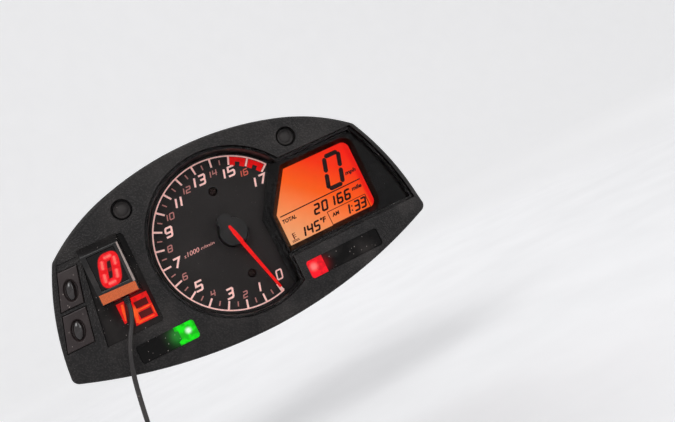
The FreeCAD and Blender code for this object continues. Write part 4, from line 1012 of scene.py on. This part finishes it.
def button(name, corners, dome_x, dome_y):
    """A button: a four-sided plate whose points are mixed from its corners.
    Its height falls off as a quarter circle near the rim and sinks smoothly
    into an oval well; the skirt and the stem follow. In the well stands an
    ellipsoid, leaned as the well is."""
    corners = inset(corners, BUTTON_GAP)
    u = spread(90)[None, :, None]
    v = spread(120)[:, None, None]
    flat = ((1 - u) * (1 - v) * corners[0] + u * (1 - v) * corners[1] + u * v * corners[2]
            + (1 - u) * v * corners[3])
    wide = np.linalg.norm(corners[1] - corners[0])
    tall = np.linalg.norm(corners[3] - corners[0])
    rim = np.minimum(np.minimum(u, 1 - u) * wide, np.minimum(v, 1 - v) * tall)[..., 0]
    fall = np.clip(1.0 - rim / BUTTON_BEVEL, 0.0, 1.0)
    top = BUTTON_TOP - BEVEL_DEPTH * (1.0 - np.sqrt(1.0 - fall ** 2))
    x, y = flat[..., 0] - dome_x, flat[..., 1] - dome_y
    across = x * math.cos(BUTTON_LEAN) - y * math.sin(BUTTON_LEAN)
    along = x * math.sin(BUTTON_LEAN) + y * math.cos(BUTTON_LEAN)
    far = np.hypot(across / WELL_RADII[0], along / WELL_RADII[1])
    wall = np.clip((1.0 - far) / WELL_WALL, 0.0, 1.0)
    level = top - WELL_DEPTH * wall ** 2 * (3.0 - 2.0 * wall)
    face = np.concatenate([flat, level[..., None]], axis=-1)
    edge = np.concatenate([face[0, :-1], face[:-1, -1], face[-1, :0:-1], face[:0:-1, 0]])
    skirt = np.stack([edge, edge * [1, 1, 0] + [0, 0, SKIRT_FOOT], np.broadcast_to(
        [corners[:, 0].mean(), corners[:, 1].mean(), SKIRT_FOOT], edge.shape)])
    stem = lathe(dome_x, dome_y, [(0.0, SKIRT_FOOT), (STEM_RADIUS, SKIRT_FOOT),
                                  (STEM_RADIUS, STEM_FOOT), (0.0, STEM_FOOT)], 24)
    piece(name + "_cap", [(face, False, False), (skirt, False, True), stem], "button",
          stands_for=(name,), sharp=40.0)
    tilt = np.linspace(0.0, np.pi, 24)[:, None]
    angle = angles_round(64)[None, :]
    wide, tall, high = DOME_RADII
    x, y = leaned(wide * np.sin(tilt) * np.cos(angle), tall * np.sin(tilt) * np.sin(angle))
    level = DOME_LEVEL + high * np.cos(tilt) + 0.0 * angle
    dome = np.stack([dome_x + x, dome_y + y, level], axis=-1)
    piece(name + "_dome", [(dome, False, True)], "dome")


button("upper_button", UPPER_BUTTON, -103.2, 9.5)
button("lower_button", LOWER_BUTTON, -109.2, -14.0)


# Pieces whose shape stays the source's, with softened edges

SOFT_ANGLE = 30.0
JOINED_ANGLE = 1.0


def softened(name, source, finish, width, body="cluster", segments=2):
    """A copy of a source piece, its points merged and its flat faces joined,
    with a small round along each of its edges."""
    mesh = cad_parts[source].data.copy()
    mesh.name = name
    shape = bmesh.new()
    shape.from_mesh(mesh)
    bmesh.ops.remove_doubles(shape, verts=shape.verts, dist=MERGE_DISTANCE)
    bmesh.ops.dissolve_limit(shape, angle_limit=math.radians(JOINED_ANGLE), verts=shape.verts,
                             edges=shape.edges)
    shape.to_mesh(mesh)
    shape.free()
    shade_smooth(mesh, SOFT_ANGLE)
    item = show(name, mesh, finish, body, (source,))
    bevel = item.modifiers.new("edge_round", "BEVEL")
    bevel.width = width * MM
    bevel.segments = segments
    bevel.limit_method = "ANGLE"
    bevel.angle_limit = math.radians(SOFT_ANGLE)
    bevel.harden_normals = True
    bevel.use_clamp_overlap = True


softened("display_moulding", "display_frame", "display_frame", 0.3)
softened("clear_lens", "lens", "lens", 0.6)
softened("needle_hub", "needle_cap", "cap", 0.8, "pointer", 4)
softened("gear_housing", "gear_case", "gear", 0.5, segments=3)


def make_needle_root():
    """The needle's lit line goes on over the hub, 4.8 mm past the axis: a bar
    along the needle's own direction at rest."""
    path = np.array([-4.8, -4.0, -1.0, 0.3])[:, None] * clock_point(FIRST_MARK, 1.0)
    piece("needle_root_line", [ribbon(path, [1.0, 1.9, 2.3, 2.4], 8.95, 9.06)], "needle",
          "pointer")


make_needle_root()


# Gear indicator and warning lamps

INDICATOR_FRONT = 25.0
# Middle, half width and half height, and lean of the lit figure
GEAR_LOOP = (-77.3, 10.5, 3.9, 7.6, 0.26)
GEAR_CORES = [((-81.0, 11.5), (-79.5, 17.2)), ((-78.1, 18.1), (-72.7, 18.0)),
              ((-73.1, 11.5), (-72.0, 17.2)), ((-82.5, 3.8), (-81.4, 9.6)),
              ((-81.7, 2.9), (-76.5, 2.9)), ((-75.3, 3.8), (-73.7, 9.6))]


def leaned_loop(x, y, half_wide, half_tall, lean):
    """A closed path: a superellipse of the power 4, leaned over so that x
    grows with height by the given share."""
    across, up = rounded_square(96)
    return np.stack([x + half_wide * across + lean * half_tall * up, y + half_tall * up], axis=1)


def make_gear_digit():
    """The lit figure in the window: a wide leaned loop with a fainter bar
    across its middle, a dim halo under it and six bright cores on it."""
    loop = leaned_loop(*GEAR_LOOP)
    bar = [(-79.5, 10.5), (-75.1, 10.5)]
    for name, finish, path, wide, low, high, closed in (
            ("gear_digit_halo", "gear_halo", loop, 5.8, 0.0, 0.04, True),
            ("gear_digit_bar", "gear_bar", bar, 2.1, 0.04, 0.07, False),
            ("gear_digit", "gear_digit", loop, 5.0, 0.04, 0.08, True)):
        piece(name, [ribbon(path, wide, DIGIT_LEVEL + low, DIGIT_LEVEL + high, closed)], finish)
    for name, finish, wide, long, low in (("gear_digit_glow", "gear_inner", 3.0, 1.0, 0.08),
                                          ("gear_digit_core", "gear_core", 1.4, 0.88, 0.12)):
        share = 0.5 + long * np.array([-0.5, -0.38, 0.38, 0.5])[:, None]
        bars = [ribbon(start + share * np.subtract(stop, start),
                       [0.45 * wide, wide, wide, 0.45 * wide], DIGIT_LEVEL + low,
                       DIGIT_LEVEL + low + 0.04) for start, stop in np.array(GEAR_CORES)]
        piece(name, bars, finish)


def plate(name, corners, low, thick, finish):
    """A thin four-sided plate: its corners at two levels, closed to the
    middle of each."""
    corners = np.array(corners, dtype=float)
    middle = np.broadcast_to(corners.mean(axis=0), corners.shape)
    rings = ((middle, low), (corners, low), (corners, low + thick), (middle, low + thick))
    grid = np.stack([np.concatenate([ring, np.full((len(ring), 1), level)], axis=1)
                     for ring, level in rings])
    piece(name, [(grid, False, True)], finish)


make_gear_digit()
for name, corners, low, thick, finish, slot in (
        # The label's orange colour is painted light from the amber lamp.
        ("gear_label", [(-89.4, -7.2), (-67.2, -7.4), (-67.2, -1.9), (-89.4, -1.2)],
         INDICATOR_FRONT, 0.15, "label", "gear"),
        # A light grey strip along the gear box's right edge: a painted highlight.
        ("painted_gear_edge_highlight", [(-68.1, -1.7), (-66.7, -1.7), (-66.7, 23.8), (-67.6, 23.8)],
         INDICATOR_FRONT, 0.2, "painted_edge_highlight", "gear"),
        ("lamp_window_1", [(-74.0, -24.3), (-66.1, -24.3), (-66.1, -20.1), (-74.2, -20.1)],
         PANEL_LEVEL, 0.06, "lamp_windows", "amber_lamp"),
        ("lamp_window_2", [(-74.0, -17.6), (-66.1, -17.6), (-66.1, -13.3), (-74.2, -13.3)],
         PANEL_LEVEL, 0.06, "lamp_windows", "amber_lamp"),
        # Dark plates where the lead and its shadow cross the amber lamp: a painted shadow.
        ("painted_lead_shadow", [(-83.7, -27.1), (-78.5, -27.1), (-74.7, -10.1), (-78.9, -10.1)],
         PANEL_LEVEL, 0.06, "panel", "smoked"),
        ("painted_lead_shadow_foot", [(-84.3, -27.1), (-83.6, -27.1), (-82.3, -22.6), (-84.3, -22.9)],
         PANEL_LEVEL, 0.06, "panel", "smoked"),
        ("neutral_lamp_shade", [(-59.9, -47.6), (-57.7, -46.6), (-57.7, -41.2), (-59.9, -40.4)],
         LAMP_LEVEL, 0.06, "left_strip", "smoked")):
    plate(name, corners, low, thick, finish)
# Brighter lines of the amber lamp, with their widths
STREAKS = (([(-74.2, -18.9), (-72.0, -18.8), (-67.0, -18.7), (-64.7, -18.6)], [0.3, 1.0, 1.0, 0.3]),
           ([(-76.6, -25.6), (-66.0, -25.5)], [1.6, 0.7]),
           ([(-65.0, -25.0), (-65.0, -19.4)], 0.6),
           ([(-76.6, -25.6), (-75.0, -18.0)], [2.4, 0.8]),
           ([(-80.7, -11.4), (-81.6, -16.0), (-82.7, -21.4)], [1.4, 1.6, 0.6]))
piece("lamp_streaks", [ribbon(path, width, PANEL_LEVEL, PANEL_LEVEL + 0.08)
                       for path, width in STREAKS], "lamp_streaks")


# Finishes of the source's own pieces

NODE_FINISHES = {
    "front_case": "case", "inner_frame": "inner", "display_panel": "display", "dial": "dial",
    "movement": "movement", "needle": "needle", "needle_shaft": "steel",
    "left_lamp_strip": "left_strip", "neutral_lamp": "green_lamp",
    "right_lamp_strip": "right_strip", "oil_lamp": "red_lamp", "warning_panel": "panel",
    "warning_lamp": "amber_lamp", "case_gasket": "gasket", "rear_case": "rear",
    "breather": "bush", "lug_bushes": "bush", "lug_inserts": "insert",
    "wiring_socket": "socket", "socket_pins": "pin", "gear_pad": "pad", "gear_window": "window",
}
for name, finish in NODE_FINISHES.items():
    for slot_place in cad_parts[name].material_slots:
        slot_place.material = FINISHES[finish]


# Floor, backdrop and light

FLOOR_HEIGHT = -0.1225
FLOOR_NEAR = -4.0
FLOOR_FAR = 2.5
FLOOR_BEND = 1.2
WALL_TOP = 5.0
FLOOR_SIDE = 6.0
AIM = (0.0, 0.0, 0.02)


def seen_directly(tree):
    """One for rays that come from the camera, a mirror or glass, else zero."""
    rays = node("LightPath", tree=tree).outputs
    return maths("MAXIMUM", rays["Is Camera Ray"],
                 maths("MAXIMUM", rays["Is Glossy Ray"], rays["Is Transmission Ray"]))


def make_floor():
    """A pale floor that curves up into a wall far behind: a profile of a flat
    run, a quarter circle and an upright run, carried sideways."""
    turn = np.linspace(0.0, 0.5 * np.pi, 24)
    bend = np.stack([FLOOR_FAR + FLOOR_BEND * np.sin(turn),
                     FLOOR_BEND - FLOOR_BEND * np.cos(turn)], axis=1)
    profile = np.concatenate([[(FLOOR_NEAR, 0.0)], bend, [(FLOOR_FAR + FLOOR_BEND, WALL_TOP)]])
    across = np.array([-FLOOR_SIDE, FLOOR_SIDE])
    grid = np.stack(np.broadcast_arrays(across, profile[:, :1], profile[:, 1:] + FLOOR_HEIGHT),
                    axis=-1)
    mesh = bpy.data.meshes.new("floor")
    mesh.from_pydata(grid.reshape(-1, 3), [], grid_faces(len(profile), 2, False, False).tolist())
    shade_smooth(mesh, SHARP)
    material, shader, place = finish_start("pale_floor")
    paper = ranged(noise(place, 14.0, 4.0), 0.3, 0.7)
    away = node("VectorMath", {"operation": "LENGTH"}, i0=place).outputs["Value"]
    lift = ranged(away, 0.45, 2.1, 0.12, 0.47, True)
    feed(shader, Base_Color=blended(paper, (0.74, 0.74, 0.75), (0.78, 0.78, 0.79)),
         Roughness=0.85, Emission_Color=(1.0, 1.0, 1.0, 1.0),
         Emission_Strength=product(lift, seen_directly(material.node_tree)))
    mesh.materials.append(material)
    item = place_in_scene("floor", mesh)


def softbox(name, place, size, watts):
    """A rectangular lamp that points at the part."""
    light = bpy.data.lights.new(name, "AREA")
    light.shape = "RECTANGLE"
    light.size, light.size_y = size
    light.energy = watts
    way = Vector(AIM) - Vector(place)
    turned = way.to_track_quat("-Z", "Y").to_matrix().to_4x4()
    place_in_scene(name, light).matrix_world = Matrix.Translation(place) @ turned


make_floor()
softbox("key", (-0.5, -1.05, 1.1), (0.9, 0.7), 11.0)
softbox("fill", (1.0, -0.7, 0.4), (0.8, 0.8), 4.5)
softbox("back", (0.2, 0.9, 0.9), (1.0, 0.5), 6.0)
world = bpy.data.worlds.new("studio")
bpy.context.scene.world = world
world.use_nodes = True
sky = world.node_tree
feed(sky.nodes["Background"], Strength=1.0,
     Color=blended(seen_directly(sky), (0.42, 0.42, 0.43), (0.80, 0.80, 0.81)))
